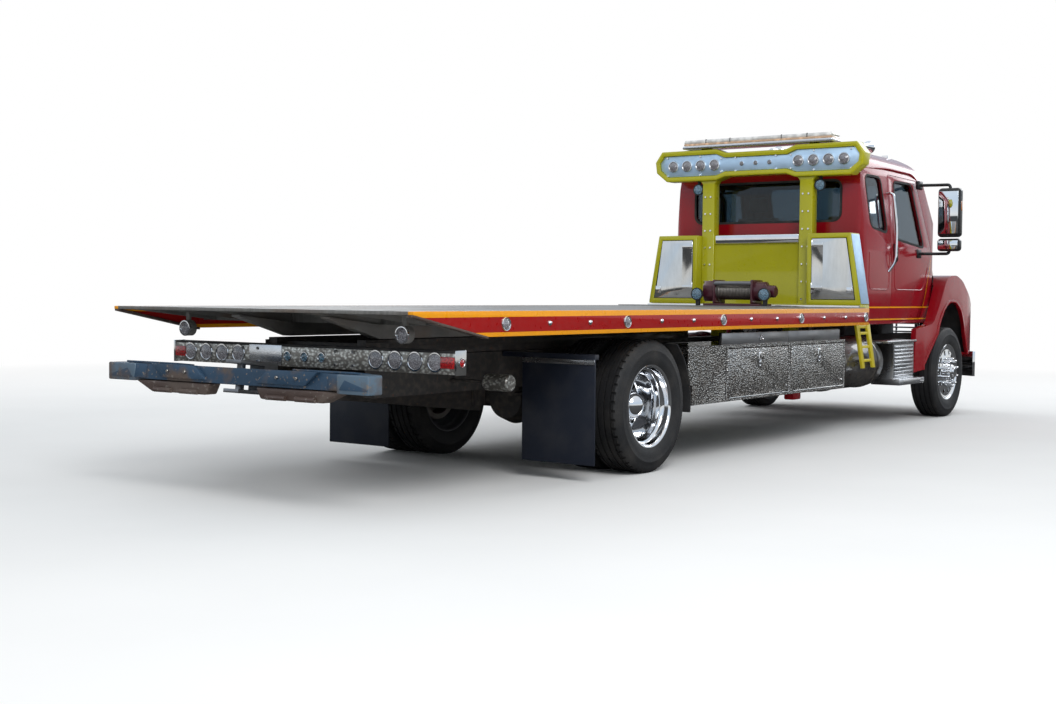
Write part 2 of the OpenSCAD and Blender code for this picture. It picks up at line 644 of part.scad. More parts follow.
// Steering knuckle on the left: kingpin, two lugs, a plate and the spindle
module knuckle() color([0.15, 0.15, 0.16]) {
  translate([wheelbase, kingpin_y, axle_z - 105]) cylinder(r = kingpin_r, h = 210);
  for (z = [axle_z - 105, axle_z + 71]) {
    translate([wheelbase, kingpin_y, z]) cylinder(r = 40, h = 34);
    block([wheelbase - 40, kingpin_y, z], [wheelbase + 40, kingpin_y + 60, z + 34]);
  }
  block([wheelbase - 55, kingpin_y + 52, axle_z - 105], [wheelbase + 55, kingpin_y + 76, axle_z + 105]);
  cross_bar(wheelbase, (kingpin_y + 60 + front_track_half + 40) / 2, axle_z, 40, front_track_half - kingpin_y - 20);
  // steering arm, reaching back inside the wheel
  block([wheelbase - 190, kingpin_y - 10, axle_z - 105], [wheelbase - 30, kingpin_y + 22, axle_z - 80]);
}
module left_knuckle() on_truck() knuckle();
module right_knuckle() on_truck() mirror([0, 1, 0]) knuckle();

// ---------------------------------------------------------------- side equipment

// Left toolbox: a sheet shell with two door openings and the tyre's curve cut out
module toolbox() {
  difference() {
    block([box_rear, box_y - box_d, box_z], [box_front, box_y, box_top]);
    for (bay = [[box_rear, box_door_rear], [box_door_rear, box_split], [box_split, box_front]])
      block([bay[0] + box_t / 2, box_y - box_d + box_t, box_z + box_t],
            [bay[1] - box_t / 2, box_y - box_t, box_top - box_t]);
    for (bay = [[box_door_rear, box_split], [box_split, box_front]])
      block([bay[0] + box_rim, box_y - box_t - 1, box_z + box_rim],
            [bay[1] - box_rim, box_y + 1, box_top - box_rim]);
  }
  // rear corner wing, curved round the tyre
  intersection() {
    block([box_rear - 60, box_y - box_t, box_z + 150], [box_rear, box_y, box_top]);
    difference() {
      block([0, 0, 0], [box_rear, box_y, 2 * box_top]);
      cross_bar(0, box_y, axle_z, box_rear - 12, 200);
    }
  }
  // grey strip above the doors and the bracket to the frame
  block([box_rear + 480, box_y - 40, box_top], [box_front - 110, box_y - 15, box_top + 95]);
  for (x = [box_rear + 300, box_front - 400])
    block([x, frame_half, box_z + 200], [x + 80, box_y - box_d, box_z + 320]);
}
module toolboxes() color([0.7, 0.7, 0.7]) on_truck() both_sides() toolbox();

// A drop-down door in one bay of the left toolbox
module box_door(from, to) color([0.72, 0.72, 0.72]) {
  g = box_rim + move_gap;
  block([from + g, box_y - box_door_t, box_z + g], [to - g, box_y, box_top - g]);
  // paddle latch
  translate([(from + to) / 2 - 70, box_y, box_top - g - 95]) cube([140, 8, 60]);
}
module left_front_box_door() on_truck() box_door(box_split, box_front);
module left_rear_box_door() on_truck() box_door(box_door_rear, box_split);
module right_front_box_door() on_truck() mirror([0, 1, 0]) box_door(box_split, box_front);
module right_rear_box_door() on_truck() mirror([0, 1, 0]) box_door(box_door_rear, box_split);

module rear_light_bar() on_truck() {
  bar_half = deck_w / 2 - 56;
  low = tilt_rail_z - 80;
  back = tilt_x - 140;
  color([0.6, 0.6, 0.58]) difference() {
    block([back, -bar_half, low], [back + 80, bar_half, low + 140]);
    block([back + 8, -bar_half + 8, low + 8], [back + 81, bar_half - 8, low + 132]);
  }
  color([0.1, 0.1, 0.1]) both_sides()
    block([back + 8, frame_half - 20, low + 20], [frame_rear, frame_half, low + 65]);
  color([0.8, 0.8, 0.82]) both_sides() for (i = [0:3])
    translate([back - 12, bar_half - 165 - 156 * i, low + 70]) rotate([0, 90, 0]) cylinder(r = 62, h = 13);
}

module mud_flaps() on_truck() both_sides() {
  color([0.05, 0.06, 0.1]) block([-760, inner_tyre_y - 150, 120], [-748, box_y, frame_z]);
  color([0.7, 0.7, 0.72]) block([-748, frame_half, frame_z - 35], [-712, box_y, frame_z]);
}

// ---------------------------------------------------------------- headboard

// Side box outline seen from behind on the left, anticlockwise
function board_side() = let (top = deck_z + 30 + board_box_h) [[600, deck_z + 30], [board_half_w, deck_z + 30],
  [board_half_w - 112, top], [600, top]];

module headboard_frame() color([0.62, 0.66, 0.0]) on_truck() {
  // foot beam across the truck, carried by two posts on the frame
  block([board_x, -board_half_w, board_foot_z], [board_x + board_d, board_half_w, deck_z + 30]);
  both_sides() {
    block([board_x + 10, frame_half - 80, frame_z], [board_x + board_d - 10, frame_half, board_foot_z]);
    // pillars with flared caps
    block([pillar_x, pillar_y - pillar_w / 2, deck_z + 30], [pillar_x + 110, pillar_y + pillar_w / 2, cap_z]);
    rear_extrude(pillar_x, pillar_x + 110) polygon([[pillar_y - pillar_w / 2, cap_z],
      [pillar_y + pillar_w / 2, cap_z], [pillar_y + 95, cap_z + 35], [pillar_y - 95, cap_z + 35]]);
  }
  // panel between the pillars
  block([pillar_x + 40, -pillar_y + pillar_w / 2, deck_z + 30],
        [pillar_x + 65, pillar_y - pillar_w / 2, deck_z + 30 + board_box_h - 85]);
  block([pillar_x + 20, -pillar_y + pillar_w / 2, deck_z + 30 + board_box_h - 85],
        [pillar_x + 80, pillar_y - pillar_w / 2, deck_z + 30 + board_box_h]);
}

module headboard_boxes() color([0.62, 0.66, 0.0]) on_truck() both_sides() difference() {
  rear_extrude(board_x, board_x + board_d) polygon(board_side());
  rear_extrude(board_x + 12, board_x + board_d - 12) polygon(inward(board_side(), 12));
  rear_extrude(board_x - 1, board_x + 20) polygon(inward(board_side(), board_rim));
}

module board_door() color([0.8, 0.81, 0.83]) {
  rear_extrude(board_x, board_x + 20) polygon(inward(board_side(), board_rim + move_gap));
  // strap hinges and lever latch
  for (z = [deck_z + 170, deck_z + board_box_h - 100])
    block([board_x - 6, 600 + board_rim + 10, z], [board_x, 600 + board_rim + 120, z + 34]);
  block([board_x - 6, board_half_w - 140, deck_z + 130], [board_x, board_half_w - 80, deck_z + 200]);
}
module left_board_door() on_truck() board_door();
module right_board_door() on_truck() mirror([0, 1, 0]) board_door();

// Light pod: a wide case with chamfered ends and a waist, seen from behind
function pod_half() = [[0, -110], [330, -110], [430, -145], [1000, -145], [1120, -50], [1135, 60],
  [1060, 165], [430, 165], [330, 125], [0, 125]];
function pod_outline() = concat([for (i = [0:len(pod_half()) - 2]) pod_half()[i]],
  [for (i = [len(pod_half()) - 1:-1:1]) [-pod_half()[i][0], pod_half()[i][1]]]);

module light_pod() on_truck() translate([0, 0, deck_z + pod_z]) {
  color([0.62, 0.66, 0.0]) difference() {
    rear_extrude(board_x + 65, board_x + 225) polygon(pod_outline());
    rear_extrude(board_x + 64, board_x + 85) polygon(inward(pod_outline(), 38));
  }
  color([0.75, 0.8, 0.86]) both_sides() for (i = [0:3])
    translate([board_x + 72, 457 + 157 * i, 10]) rotate([0, 90, 0]) cylinder(r = 60, h = 15);
  // work lamps on the pillars below
  color([0.08, 0.08, 0.08]) both_sides() {
    translate([pillar_x + 20, 665, -230]) rotate([0, 90, 0]) cylinder(r = 55, h = 60);
    block([pillar_x + 30, 640, -180], [pillar_x + 70, 690, -143]);
  }
}

module beacon_bar() on_truck() translate([board_x + 165, 0, deck_z + pod_z]) {
  color([0.85, 0.86, 0.88]) translate([-110, -818, 175]) cube([220, 1636, 40]);
  color([0.9, 0.85, 0.75]) translate([-100, -808, 215]) cube([200, 1616, 55]);
  color([0.1, 0.1, 0.1]) for (y = [-620, 560]) translate([-60, y, 165]) cube([120, 60, 11]);
}

module ladders() color([0.75, 0.7, 0.0]) on_truck() both_sides() {
  top_x = board_x - 60;
  low_z = box_z + 150;
  for (bar = [0, 250])
    side_extrude(board_half_w - 34, board_half_w - 10) polygon([[top_x + bar + 170, low_z], [top_x + bar + 230, low_z],
      [top_x + bar + 70, board_foot_z], [top_x + bar, board_foot_z]]);
  for (i = [0:2]) {
    z = low_z + 60 + 130 * i;
    x = top_x + 170 * (board_foot_z - z) / (board_foot_z - low_z);
    block([x + 20, board_half_w - 30, z], [x + 290, board_half_w - 14, z + 26]);
  }
  block([board_x, board_half_w - 34, board_foot_z - 40], [board_x + 180, board_half_w - 10, board_foot_z]);
}

// ---------------------------------------------------------------- deck and tilt frame

module tilt_frame() color([0.1, 0.1, 0.11]) on_truck() {
  front = 1900;
  both_sides() {
    difference() {
      block([tilt_x - 35, sill_y - sill_w / 2, tilt_rail_z], [front, sill_y + sill_w / 2, tilt_rail_z + tilt_rail_h]);
      block([tilt_x + 60, sill_y - sill_w / 2 + 8, tilt_rail_z + 8],
            [front + 1, sill_y + sill_w / 2 - 8, tilt_rail_z + tilt_rail_h - 8]);
    }
    cross_bar(tilt_x, sill_y + 10, tilt_z, tilt_pin_r, 110);
    // ears that take the rod eyes
    for (y = [cyl_y - 52, cyl_y + 40])
      block([cyl_eye[0] - 60, y, cyl_eye[1] - 60], [cyl_eye[0] + 170, y + 12, cyl_eye[1] + 50]);
  }
  for (x = [tilt_x + 60, 0, cyl_eye[0] + 110])
    block([x, -sill_y + sill_w / 2, tilt_rail_z + 5], [x + 80, sill_y - sill_w / 2, tilt_rail_z + 75]);
}

// Places a piece along the tilt cylinder, which points from foot to eye
module along_cylinder() both_sides() translate([cyl_foot[0], cyl_y, cyl_foot[1]])
  rotate([0, 90 - cyl_angle, 0]) children();

module tilt_barrels() color([0.12, 0.12, 0.13]) on_truck() along_cylinder() difference() {
  union() {
    translate([0, 0, 72]) cylinder(r = barrel_r, h = cyl_len * 0.68 - 72);
    cylinder(r = rod_r, h = 73);
    rotate([90, 0, 0]) cylinder(r = 40, h = 70, center = true);
  }
  rotate([90, 0, 0]) cylinder(r = 20 + pin_gap, h = 90, center = true);
  translate([0, 0, 80]) cylinder(r = rod_r + pin_gap, h = cyl_len);
}

module tilt_rods() color([0.8, 0.82, 0.85]) on_truck() along_cylinder() difference() {
  union() {
    translate([0, 0, cyl_len * 0.3]) cylinder(r = rod_r, h = cyl_len * 0.7 - 20);
    translate([0, 0, cyl_len]) rotate([90, 0, 0]) cylinder(r = 38, h = 66, center = true);
  }
  translate([0, 0, cyl_len]) rotate([90, 0, 0]) cylinder(r = 20, h = 90, center = true);
}

module deck() color([0.35, 0.34, 0.33]) on_truck() {
  in_half = deck_w / 2 - side_rail_t;
  difference() {
    block([-deck_tail, -in_half, deck_z - deck_t], [deck_front, in_half, deck_z]);
    // chain slots along the tail and the front
    for (x = [-deck_tail + 130, deck_front - 420], y = [-1000, -620, 620, 1000]) {
      translate([x, y, deck_z - 2 * deck_t]) cylinder(r = 38, h = 3 * deck_t);
      block([x, y - 9, deck_z - 2 * deck_t], [x + 110, y + 9, deck_z + deck_t]);
    }
  }
  rib_pitch = 420;
  first = -deck_tail + taper_l + 40;
  for (x = [first:rib_pitch:deck_front - 60])
    block([x, -in_half, rib_z], [x + 50, in_half, deck_z - deck_t]);
  both_sides() {
    block([-deck_tail + taper_l, sill_y - sill_w / 2, sill_z], [deck_front, sill_y + sill_w / 2, rib_z]);
    // tapered ribs under the tail
    for (y = [sill_y - 6, 760, in_half - 130])
      side_extrude(y, y + 14) polygon([[-deck_tail + 20, deck_z - deck_t - 12], [-deck_tail + taper_l + 50, rib_z],
        [-deck_tail + taper_l + 50, deck_z - deck_t], [-deck_tail + 20, deck_z - deck_t]]);
    side_extrude(sill_y - sill_w / 2, sill_y + sill_w / 2) polygon([[-deck_tail + 240, rib_z + 40],
      [-deck_tail + taper_l, sill_z], [-deck_tail + taper_l, rib_z], [-deck_tail + 240, rib_z + 52]]);
    // loading lamps hung under the tail
    translate([-deck_tail + 310, 950, rib_z - 45]) rotate([0, 90, 0]) cylinder(r = 52, h = 50);
    block([-deck_tail + 325, 935, rib_z - 5], [-deck_tail + 345, 965, deck_z - deck_t]);
  }
  block([-deck_tail, -in_half, deck_z - deck_t - 12], [-deck_tail + 40, in_half, deck_z - deck_t]);
  // doubler plate that carries the winch
  block([deck_front - 302, -in_half, deck_z - 1], [deck_front, in_half, deck_z + winch_pad_t]);
}

module deck_rails() color([0.5, 0.03, 0.05]) on_truck() both_sides()
  side_extrude(deck_w / 2 - side_rail_t, deck_w / 2) polygon([[-deck_tail, deck_z - deck_t - 12],
    [-deck_tail + taper_l, side_rail_z], [deck_front, side_rail_z], [deck_front, deck_z], [-deck_tail, deck_z]]);

module winch() on_truck() {
  x = deck_front - 130;
  foot = deck_z + winch_pad_t;
  z = foot + 142;
  color([0.3, 0.05, 0.08]) {
    block([x - 130, -300, foot], [x + 120, 300, foot + 22]);
    for (y = [-215, 190]) block([x - 115, y, foot + 22], [x + 115, y + 25, z + 110]);
    cross_bar(x, -290, z, 95, 150);
    cross_bar(x, -385, z, 60, 60);
    cross_bar(x, 255, z, 80, 80);
    cross_bar(x - 95, 0, z + 85, 22, 400);
  }
  color([0.35, 0.33, 0.3]) cross_bar(x, 0, z, 80, 380);
  color([0.08, 0.08, 0.09]) both_sides() {
    translate([x - 165, 361, foot + 112]) rotate([0, 90, 0]) cylinder(r = 62, h = 70);
    block([x - 150, 340, foot], [x - 110, 382, foot + 62]);
  }
}

// ---------------------------------------------------------------- wheel lift

// Places a piece on the boom's line, with local -X toward the rear
module along_boom() translate([boom_x, 0, boom_z]) rotate([0, boom_rise, 0]) children();

module lift_boom() color([0.12, 0.16, 0.22]) on_truck() along_boom() difference() {
  union() {
    block([-boom_len, -boom_w / 2, -boom_h / 2], [60, boom_w / 2, boom_h / 2]);
    block([-boom_len, -boom_w / 2 - 15, -boom_h / 2 - 6], [60 - boom_len, boom_w / 2 + 15, boom_h / 2 + 6]);
  }
  block([-boom_len - 1, -stinger_w / 2 - 3, -stinger_h / 2 - 3], [-90, stinger_w / 2 + 3, stinger_h / 2 + 3]);
  rotate([90, 0, 0]) cylinder(r = 22 + pin_gap, h = 2 * boom_w, center = true);
}

module lift_stinger() color([0.45, 0.46, 0.48]) on_truck() along_boom() {
  block([-stinger_end + 130, -stinger_w / 2, -stinger_h / 2], [-320, stinger_w / 2, stinger_h / 2]);
  // fork that carries the crossbar's pivot
  for (z = [-stinger_h / 2 - 40, stinger_h / 2 + 16])
    block([-stinger_end - 70, -stinger_w / 2, z], [-stinger_end + 240, stinger_w / 2, z + 24]);
  for (z = [-stinger_h / 2 - 18, stinger_h / 2])
    block([-stinger_end + 130, -stinger_w / 2, z], [-stinger_end + 240, stinger_w / 2, z + 20]);
  translate([-stinger_end, 0, -stinger_h / 2 - 20]) cylinder(r = 26, h = stinger_h + 40);
}

module lift_crossbar() color([0.14, 0.26, 0.4]) on_truck() {
  half = body_w / 2 - 100;
  translate([bar_x, 0, bar_z]) rotate([0, boom_rise, 0]) difference() {
    union() {
      block([-62, -half + 180, -50], [70, half - 180, 50]);
      both_sides() {
        // end receivers, angled back
        linear_extrude(2 * 45, center = true) polygon([[-70, half - 330], [70, half - 330], [70, half - 120],
          [20, half], [-95, half], [-95, half - 180]]);
        block([-66, half - 620, 50], [70, half - 130, 62]);
      }
    }
    translate([0, 0, -60]) cylinder(r = 26 + pin_gap, h = 120);
    // sockets for the stems of the lifting forks
    both_sides() translate([-38, half - 75, -60]) cylinder(r = fork_socket_r, h = 120);
  }
}

// ---------------------------------------------------------------- assembly

left_frame_rail();
right_frame_rail();
cross_members();
front_axle();
rear_axle();
engine();
exhaust();
fuel_tanks();
side_steps();
bumper();
cab_shell();
cab_glass();
cab_seats();
dashboard();
roof_lamps();
toolboxes();
rear_light_bar();
mud_flaps();
headboard_frame();
headboard_boxes();
light_pod();
beacon_bar();
ladders();
left_door();
left_door_glass();
left_mirror();
right_door();
right_door_glass();
right_mirror();
hood();
front_lamps();
left_knuckle();
right_knuckle();
front_left_rim();
front_left_tyre();
front_right_rim();
front_right_tyre();
rear_left_rims();
rear_left_tyres();
rear_right_rims();
rear_right_tyres();
tilt_frame();
tilt_barrels();
tilt_rods();
deck();
deck_rails();
winch();
lift_boom();
lift_stinger();
lift_crossbar();
left_front_box_door();
left_rear_box_door();
right_front_box_door();
right_rear_box_door();
left_board_door();
right_board_door();
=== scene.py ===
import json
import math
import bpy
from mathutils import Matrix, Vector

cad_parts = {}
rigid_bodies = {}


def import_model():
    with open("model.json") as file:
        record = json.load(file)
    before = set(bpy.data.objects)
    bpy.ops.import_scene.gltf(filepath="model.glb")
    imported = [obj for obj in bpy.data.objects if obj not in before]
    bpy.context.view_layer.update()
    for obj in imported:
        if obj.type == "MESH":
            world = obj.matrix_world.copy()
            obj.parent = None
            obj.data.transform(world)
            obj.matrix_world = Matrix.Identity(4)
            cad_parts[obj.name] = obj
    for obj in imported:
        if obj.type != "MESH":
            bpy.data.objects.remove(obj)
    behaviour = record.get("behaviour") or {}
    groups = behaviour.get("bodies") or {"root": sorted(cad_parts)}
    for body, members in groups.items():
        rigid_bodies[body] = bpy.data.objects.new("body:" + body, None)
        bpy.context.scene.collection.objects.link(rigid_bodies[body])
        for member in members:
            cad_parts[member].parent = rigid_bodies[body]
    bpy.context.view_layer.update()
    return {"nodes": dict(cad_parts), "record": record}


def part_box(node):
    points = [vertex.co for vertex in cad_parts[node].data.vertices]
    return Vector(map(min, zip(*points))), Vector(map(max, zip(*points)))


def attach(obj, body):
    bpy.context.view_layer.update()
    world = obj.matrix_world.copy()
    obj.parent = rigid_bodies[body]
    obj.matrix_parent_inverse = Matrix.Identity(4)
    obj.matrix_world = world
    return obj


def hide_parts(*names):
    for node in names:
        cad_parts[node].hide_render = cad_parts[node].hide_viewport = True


bl_info = {
    "name": "Flatbed tow truck",
    "version": (1, 0, 0),
    "blender": (4, 5, 0),
    "location": "View3D > Sidebar > Tow Truck",
    "description": "Models and finishes a rollback tow truck around its packed frame",
    "category": "Object",
}

import bpy
from mathutils import Matrix, Vector

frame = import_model()
SIDES = {"right": -1, "left": 1}


def low(node):
    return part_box(node)[0]


def high(node):
    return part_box(node)[1]


def middle(node):
    return (low(node) + high(node)) / 2


# Places that the rest is built from: axles, deck, cab corner, headboard, toolbox face.
# RIM_R is the rim's radius at the bead, TAPER the length of the rails' slanted tail,
# and CAB the middle of the cab's lower rear edge.
REAR_X = middle("rear_left_tyres").x
FRONT_X = middle("front_left_tyre").x
AXLE_Z = middle("front_left_tyre").z
TYRE_R = high("front_left_tyre").z - AXLE_Z
TYRE_W = high("front_left_tyre").y - low("front_left_tyre").y
FRONT_TYRE_Y = middle("front_left_tyre").y
OUTER_TYRE_Y = high("rear_left_tyres").y - TYRE_W / 2
INNER_TYRE_Y = low("rear_left_tyres").y + TYRE_W / 2
RIM_R = 0.2857
DECK_Z = high("deck_rails").z
DECK_HALF = high("deck_rails").y
DECK_TAIL = low("deck_rails").x
DECK_FRONT = high("deck_rails").x
RAIL_LOW = low("deck_rails").z
TAPER = 0.69
CAB = Vector((low("cab_shell").x, 0, low("left_door").z - 0.035))
CAB_HALF = high("cab_shell").y
BOARD_X = low("headboard_boxes").x
BOX_Y = high("toolboxes").y


# ---------------------------------------------------------------- modelling


def deselect():
    if bpy.context.mode != "OBJECT":
        bpy.ops.object.mode_set(mode="OBJECT")
    bpy.ops.object.select_all(action="DESELECT")


def activate(*objects):
    deselect()
    for each in objects:
        each.select_set(True)
    bpy.context.view_layer.objects.active = objects[0]


def place(obj):
    """Moves an object's place, turn and size into its mesh"""
    activate(obj)
    bpy.ops.object.transform_apply(location=True, rotation=True, scale=True)
    return obj


def remove(*objects):
    activate(*objects)
    bpy.ops.object.delete()


def edit(obj, merge=0.0):
    """Opens edit mode with everything selected"""
    activate(obj)
    bpy.ops.object.mode_set(mode="EDIT")
    bpy.ops.mesh.select_mode(type="VERT")
    bpy.ops.mesh.select_all(action="SELECT")
    if merge:
        bpy.ops.mesh.remove_doubles(threshold=merge)


def outward(obj, merge=0.0):
    """Turns every face outward, after merging doubled points"""
    edit(obj, merge)
    bpy.ops.mesh.normals_make_consistent(inside=False)
    bpy.ops.object.mode_set(mode="OBJECT")
    return obj


def apply(obj, kind, **settings):
    """Adds a modifier and applies it"""
    activate(obj)
    bpy.ops.object.modifier_add(type=kind)
    modifier = obj.modifiers[-1]
    for key, value in settings.items():
        setattr(modifier, key, value)
    bpy.ops.object.modifier_apply(modifier=modifier.name)
    return obj


def rounded(obj, edge, segments=2, angle=30):
    if edge:
        apply(obj, "BEVEL", width=edge, segments=segments, limit_method="ANGLE",
              angle_limit=math.radians(angle), use_clamp_overlap=True)
    return obj


def block(corner_a, corner_b, edge=0.004, segments=2):
    """A box between any two opposite corners, with its edges rounded"""
    deselect()
    least = Vector([min(pair) for pair in zip(corner_a, corner_b)])
    most = Vector([max(pair) for pair in zip(corner_a, corner_b)])
    bpy.ops.mesh.primitive_cube_add(size=1, location=(least + most) / 2)
    box = bpy.context.object
    box.scale = most - least
    return rounded(outward(place(box)), edge, segments)


def flat_point(axis, along, a, b):
    return {"X": (along, a, b), "Y": (a, along, b), "Z": (a, b, along)}[axis]


def outline(points, axis, start, end, corner=0.0, only=None, steps=4):
    """A flat outline pushed along an axis, with some or all corners rounded"""
    deselect()
    start, end = sorted((start, end))
    bpy.ops.mesh.primitive_circle_add(vertices=len(points), radius=1, fill_type="NGON")
    sheet = bpy.context.object
    for vertex, (a, b) in zip(sheet.data.vertices, points):
        vertex.co = flat_point(axis, start, a, b)
    if corner:
        edit(sheet)
        if only is not None:
            bpy.ops.mesh.select_all(action="DESELECT")
            bpy.ops.object.mode_set(mode="OBJECT")
            for index in only:
                sheet.data.vertices[index].select = True
            bpy.ops.object.mode_set(mode="EDIT")
        bpy.ops.mesh.bevel(offset=corner, segments=steps, affect="VERTICES", clamp_overlap=True)
    edit(sheet)
    bpy.ops.mesh.extrude_region_move(
        TRANSFORM_OT_translate={"value": flat_point(axis, end - start, 0, 0)})
    return outward(sheet)


def lathe(profile, centre=(0, 0, 0), axis="Z", steps=48):
    """A closed profile of (radius, along) points, spun about an axis through centre"""
    deselect()
    bpy.ops.mesh.primitive_circle_add(vertices=len(profile), radius=1, fill_type="NOTHING")
    ring = bpy.context.object
    line = Vector(flat_point(axis, 1, 0, 0))
    across = Vector(flat_point(axis, 0, 1, 0))
    for vertex, (radius, along) in zip(ring.data.vertices, profile):
        vertex.co = Vector(centre) + across * radius + line * along
    edit(ring)
    bpy.ops.mesh.spin(steps=steps, angle=2 * math.pi, center=centre, axis=line)
    return outward(ring, 0.00002)


def tube(points, radius, corner=0.04, sides=3):
    """A round bar along straight runs with bent corners"""
    path = [Vector(points[0])]
    for before, at, after in zip(points, points[1:], points[2:]):
        before, at, after = Vector(before), Vector(at), Vector(after)
        cut = min(corner, (at - before).length / 2, (after - at).length / 2)
        start = at + (before - at).normalized() * cut
        end = at + (after - at).normalized() * cut
        path += [start.lerp(at, t).lerp(at.lerp(end, t), t) for t in (0, 0.25, 0.5, 0.75, 1)]
    path.append(Vector(points[-1]))
    curve = bpy.data.curves.new("bar", "CURVE")
    curve.dimensions = "3D"
    curve.bevel_depth = radius
    curve.bevel_resolution = sides
    curve.use_fill_caps = True
    spline = curve.splines.new("POLY")
    spline.points.add(len(path) - 1)
    for point, spot in zip(spline.points, path):
        point.co = (*spot, 1)
    bar = bpy.data.objects.new("bar", curve)
    bpy.context.scene.collection.objects.link(bar)
    activate(bar)
    bpy.ops.object.convert(target="MESH")
    return outward(bpy.context.object, 0.00002)


def copied(obj, matrix=None):
    """A copy with its own mesh, moved by a matrix"""
    activate(obj)
    bpy.ops.object.duplicate()
    twin = bpy.context.object
    if matrix is not None:
        twin.matrix_world = matrix
        place(twin)
        if matrix.determinant() < 0:
            outward(twin)
    return twin


def moved(obj, matrix):
    """Moves a piece by a matrix"""
    obj.matrix_world = matrix
    place(obj)
    return outward(obj) if matrix.determinant() < 0 else obj


def joined(*objects):
    activate(*objects)
    if len(objects) > 1:
        bpy.ops.object.join()
    return bpy.context.object


def spread(seed, places):
    """Copies of one modelled piece at every place, joined; the seed is used up"""
    twins = []
    for spot in places:
        activate(seed)
        bpy.ops.object.duplicate()
        twins.append(bpy.context.object)
        twins[-1].matrix_world = spot
    activate(*twins)
    bpy.ops.object.transform_apply(location=True, rotation=True, scale=True)
    whole = joined(*twins)
    remove(seed)
    activate(whole)
    return whole


def facing(spot, direction):
    """The place of a piece modelled along +Z that is to face a direction"""
    turn = Vector(direction).to_track_quat("Z", "Y").to_matrix().to_4x4()
    return Matrix.Translation(spot) @ turn


def round_axle(count, radius, start=0.0):
    """Places spread evenly round a wheel's axle"""
    return [Matrix.Rotation(start + 2 * math.pi * i / count, 4, "Y") @ Matrix.Translation((radius, 0, 0))
            for i in range(count)]


def carve(body, tool, operation="DIFFERENCE", keep=False):
    """Cuts, joins or keeps what a body shares with a tool"""
    apply(body, "BOOLEAN", operation=operation, object=tool, solver="EXACT")
    if not keep:
        remove(tool)
    return body


def resized(obj, by, centre):
    """A copy grown by a distance on every side of its box"""
    corners = [Vector(corner) for corner in obj.bound_box]
    span = max(corners, key=sum) - min(corners, key=sum)
    factors = [1 + 2 * by / length for length in span]
    scale = Matrix.Diagonal((*factors, 1))
    return copied(obj, Matrix.Translation(centre) @ scale @ Matrix.Translation(-Vector(centre)))


def grown(points, by):
    """An anticlockwise outline moved outward by a distance"""
    spots = []
    for i, point in enumerate(points):
        before = (Vector(point) - Vector(points[i - 1])).normalized()
        after = (Vector(points[(i + 1) % len(points)]) - Vector(point)).normalized()
        a, b = Vector((before.y, -before.x)), Vector((after.y, -after.x))
        spots.append(Vector(point) + (a + b) * by / (1 + a.dot(b)))
    return spots


def softened(node, edge=0.004, segments=2, angle=30):
    """A merged copy of a CAD node with its edges rounded"""
    activate(frame["nodes"][node])
    bpy.ops.object.duplicate()
    piece = bpy.context.object
    bpy.ops.object.parent_clear(type="CLEAR_KEEP_TRANSFORM")
    for key in list(piece.keys()):
        del piece[key]
    edit(piece, 0.00002)
    bpy.ops.mesh.dissolve_limited(angle_limit=math.radians(1))
    bpy.ops.object.mode_set(mode="OBJECT")
    return rounded(piece, edge, segments, angle)


def finished(obj, name, finish, body, *stands_for, smooth=35):
    """Names a piece, gives it its finish and rides it on its body"""
    obj.name = name
    obj.data.materials.clear()
    obj.data.materials.append(material(finish))
    activate(obj)
    bpy.ops.object.shade_smooth_by_angle(angle=math.radians(smooth))
    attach(obj, body)
    if stands_for:
        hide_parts(*stands_for)
    deselect()
    return obj


def refitted(node, finish, body, edge=0.004, angle=30, name=None):
    """Replaces a CAD node by a copy of itself with rounded edges"""
    return finished(softened(node, edge, 2, angle), name or node + "_body", finish, body, node)


def refinished(node, finish):
    """Gives a CAD node that stays as it is its finish"""
    for slot in frame["nodes"][node].material_slots:
        slot.material = material(finish)


# ---------------------------------------------------------------- sizes and colours


def length(name, description, default):
    return bpy.props.FloatProperty(name=name, description=description, default=default,
                                   min=0, subtype="DISTANCE", unit="LENGTH")


def angle(name, description, degrees):
    return bpy.props.FloatProperty(name=name, description=description, default=math.radians(degrees),
                                   subtype="ANGLE", unit="ROTATION")


def colour(name, description, default):
    return bpy.props.FloatVectorProperty(name=name, description=description, default=default,
                                         size=3, min=0, max=1, subtype="COLOR")


class TruckSizes(bpy.types.PropertyGroup):
    """Sizes of the small pieces that the frame doesn't hold"""

    rail_lamp: length("Rail lamp", "Radius of the round lamps on the deck's side rails", 0.043)
    rail_stud: length("Rail stud", "Radius of the small bullet lamps between them", 0.017)
    bar_lamp: length("Bar lamp", "Radius of the lamps on the rear light bar", 0.062)
    pod_lamp: length("Pod lamp", "Radius of the lamps on the light pod", 0.06)
    bolt: length("Bolt head", "Radius of a bolt head", 0.011)
    gasket: length("Gasket", "Width of the seals round the windows", 0.022)
    panel_edge: length("Panel edge", "Rounding along the cab's outer edges", 0.035)
    tread: length("Tread depth", "Depth of the tyre grooves", 0.013)


class TruckColours(bpy.types.PropertyGroup):
    """Colours of the painted pieces"""

    cab_red: colour("Cab", "Paint of the cab and hood", (0.265, 0.001, 0.008))
    rail_red: colour("Side rails", "Paint of the deck's side rails", (0.33, 0.003, 0.003))
    amber: colour("Stripes", "Stripes along the side rails and cab", (0.85, 0.33, 0.0))
    # Painted shade: the headboard's tone is the ladders' yellow paint made darker and greener, as the
    # headboard faces back into shade
    board: colour("Headboard", "Paint of the headboard and light pod", (0.44, 0.42, 0.003))
    ladder: colour("Ladders", "Paint of the ladders", (0.62, 0.5, 0.01))
    lift: colour("Wheel lift", "Paint of the lift's crossbar", (0.03, 0.066, 0.115))
    winch: colour("Winch", "Paint of the winch", (0.055, 0.004, 0.014))
    seat: colour("Seats", "Cloth of the seats", (0.07, 0.07, 0.078))


def colours():
    return bpy.context.scene.truck_colours


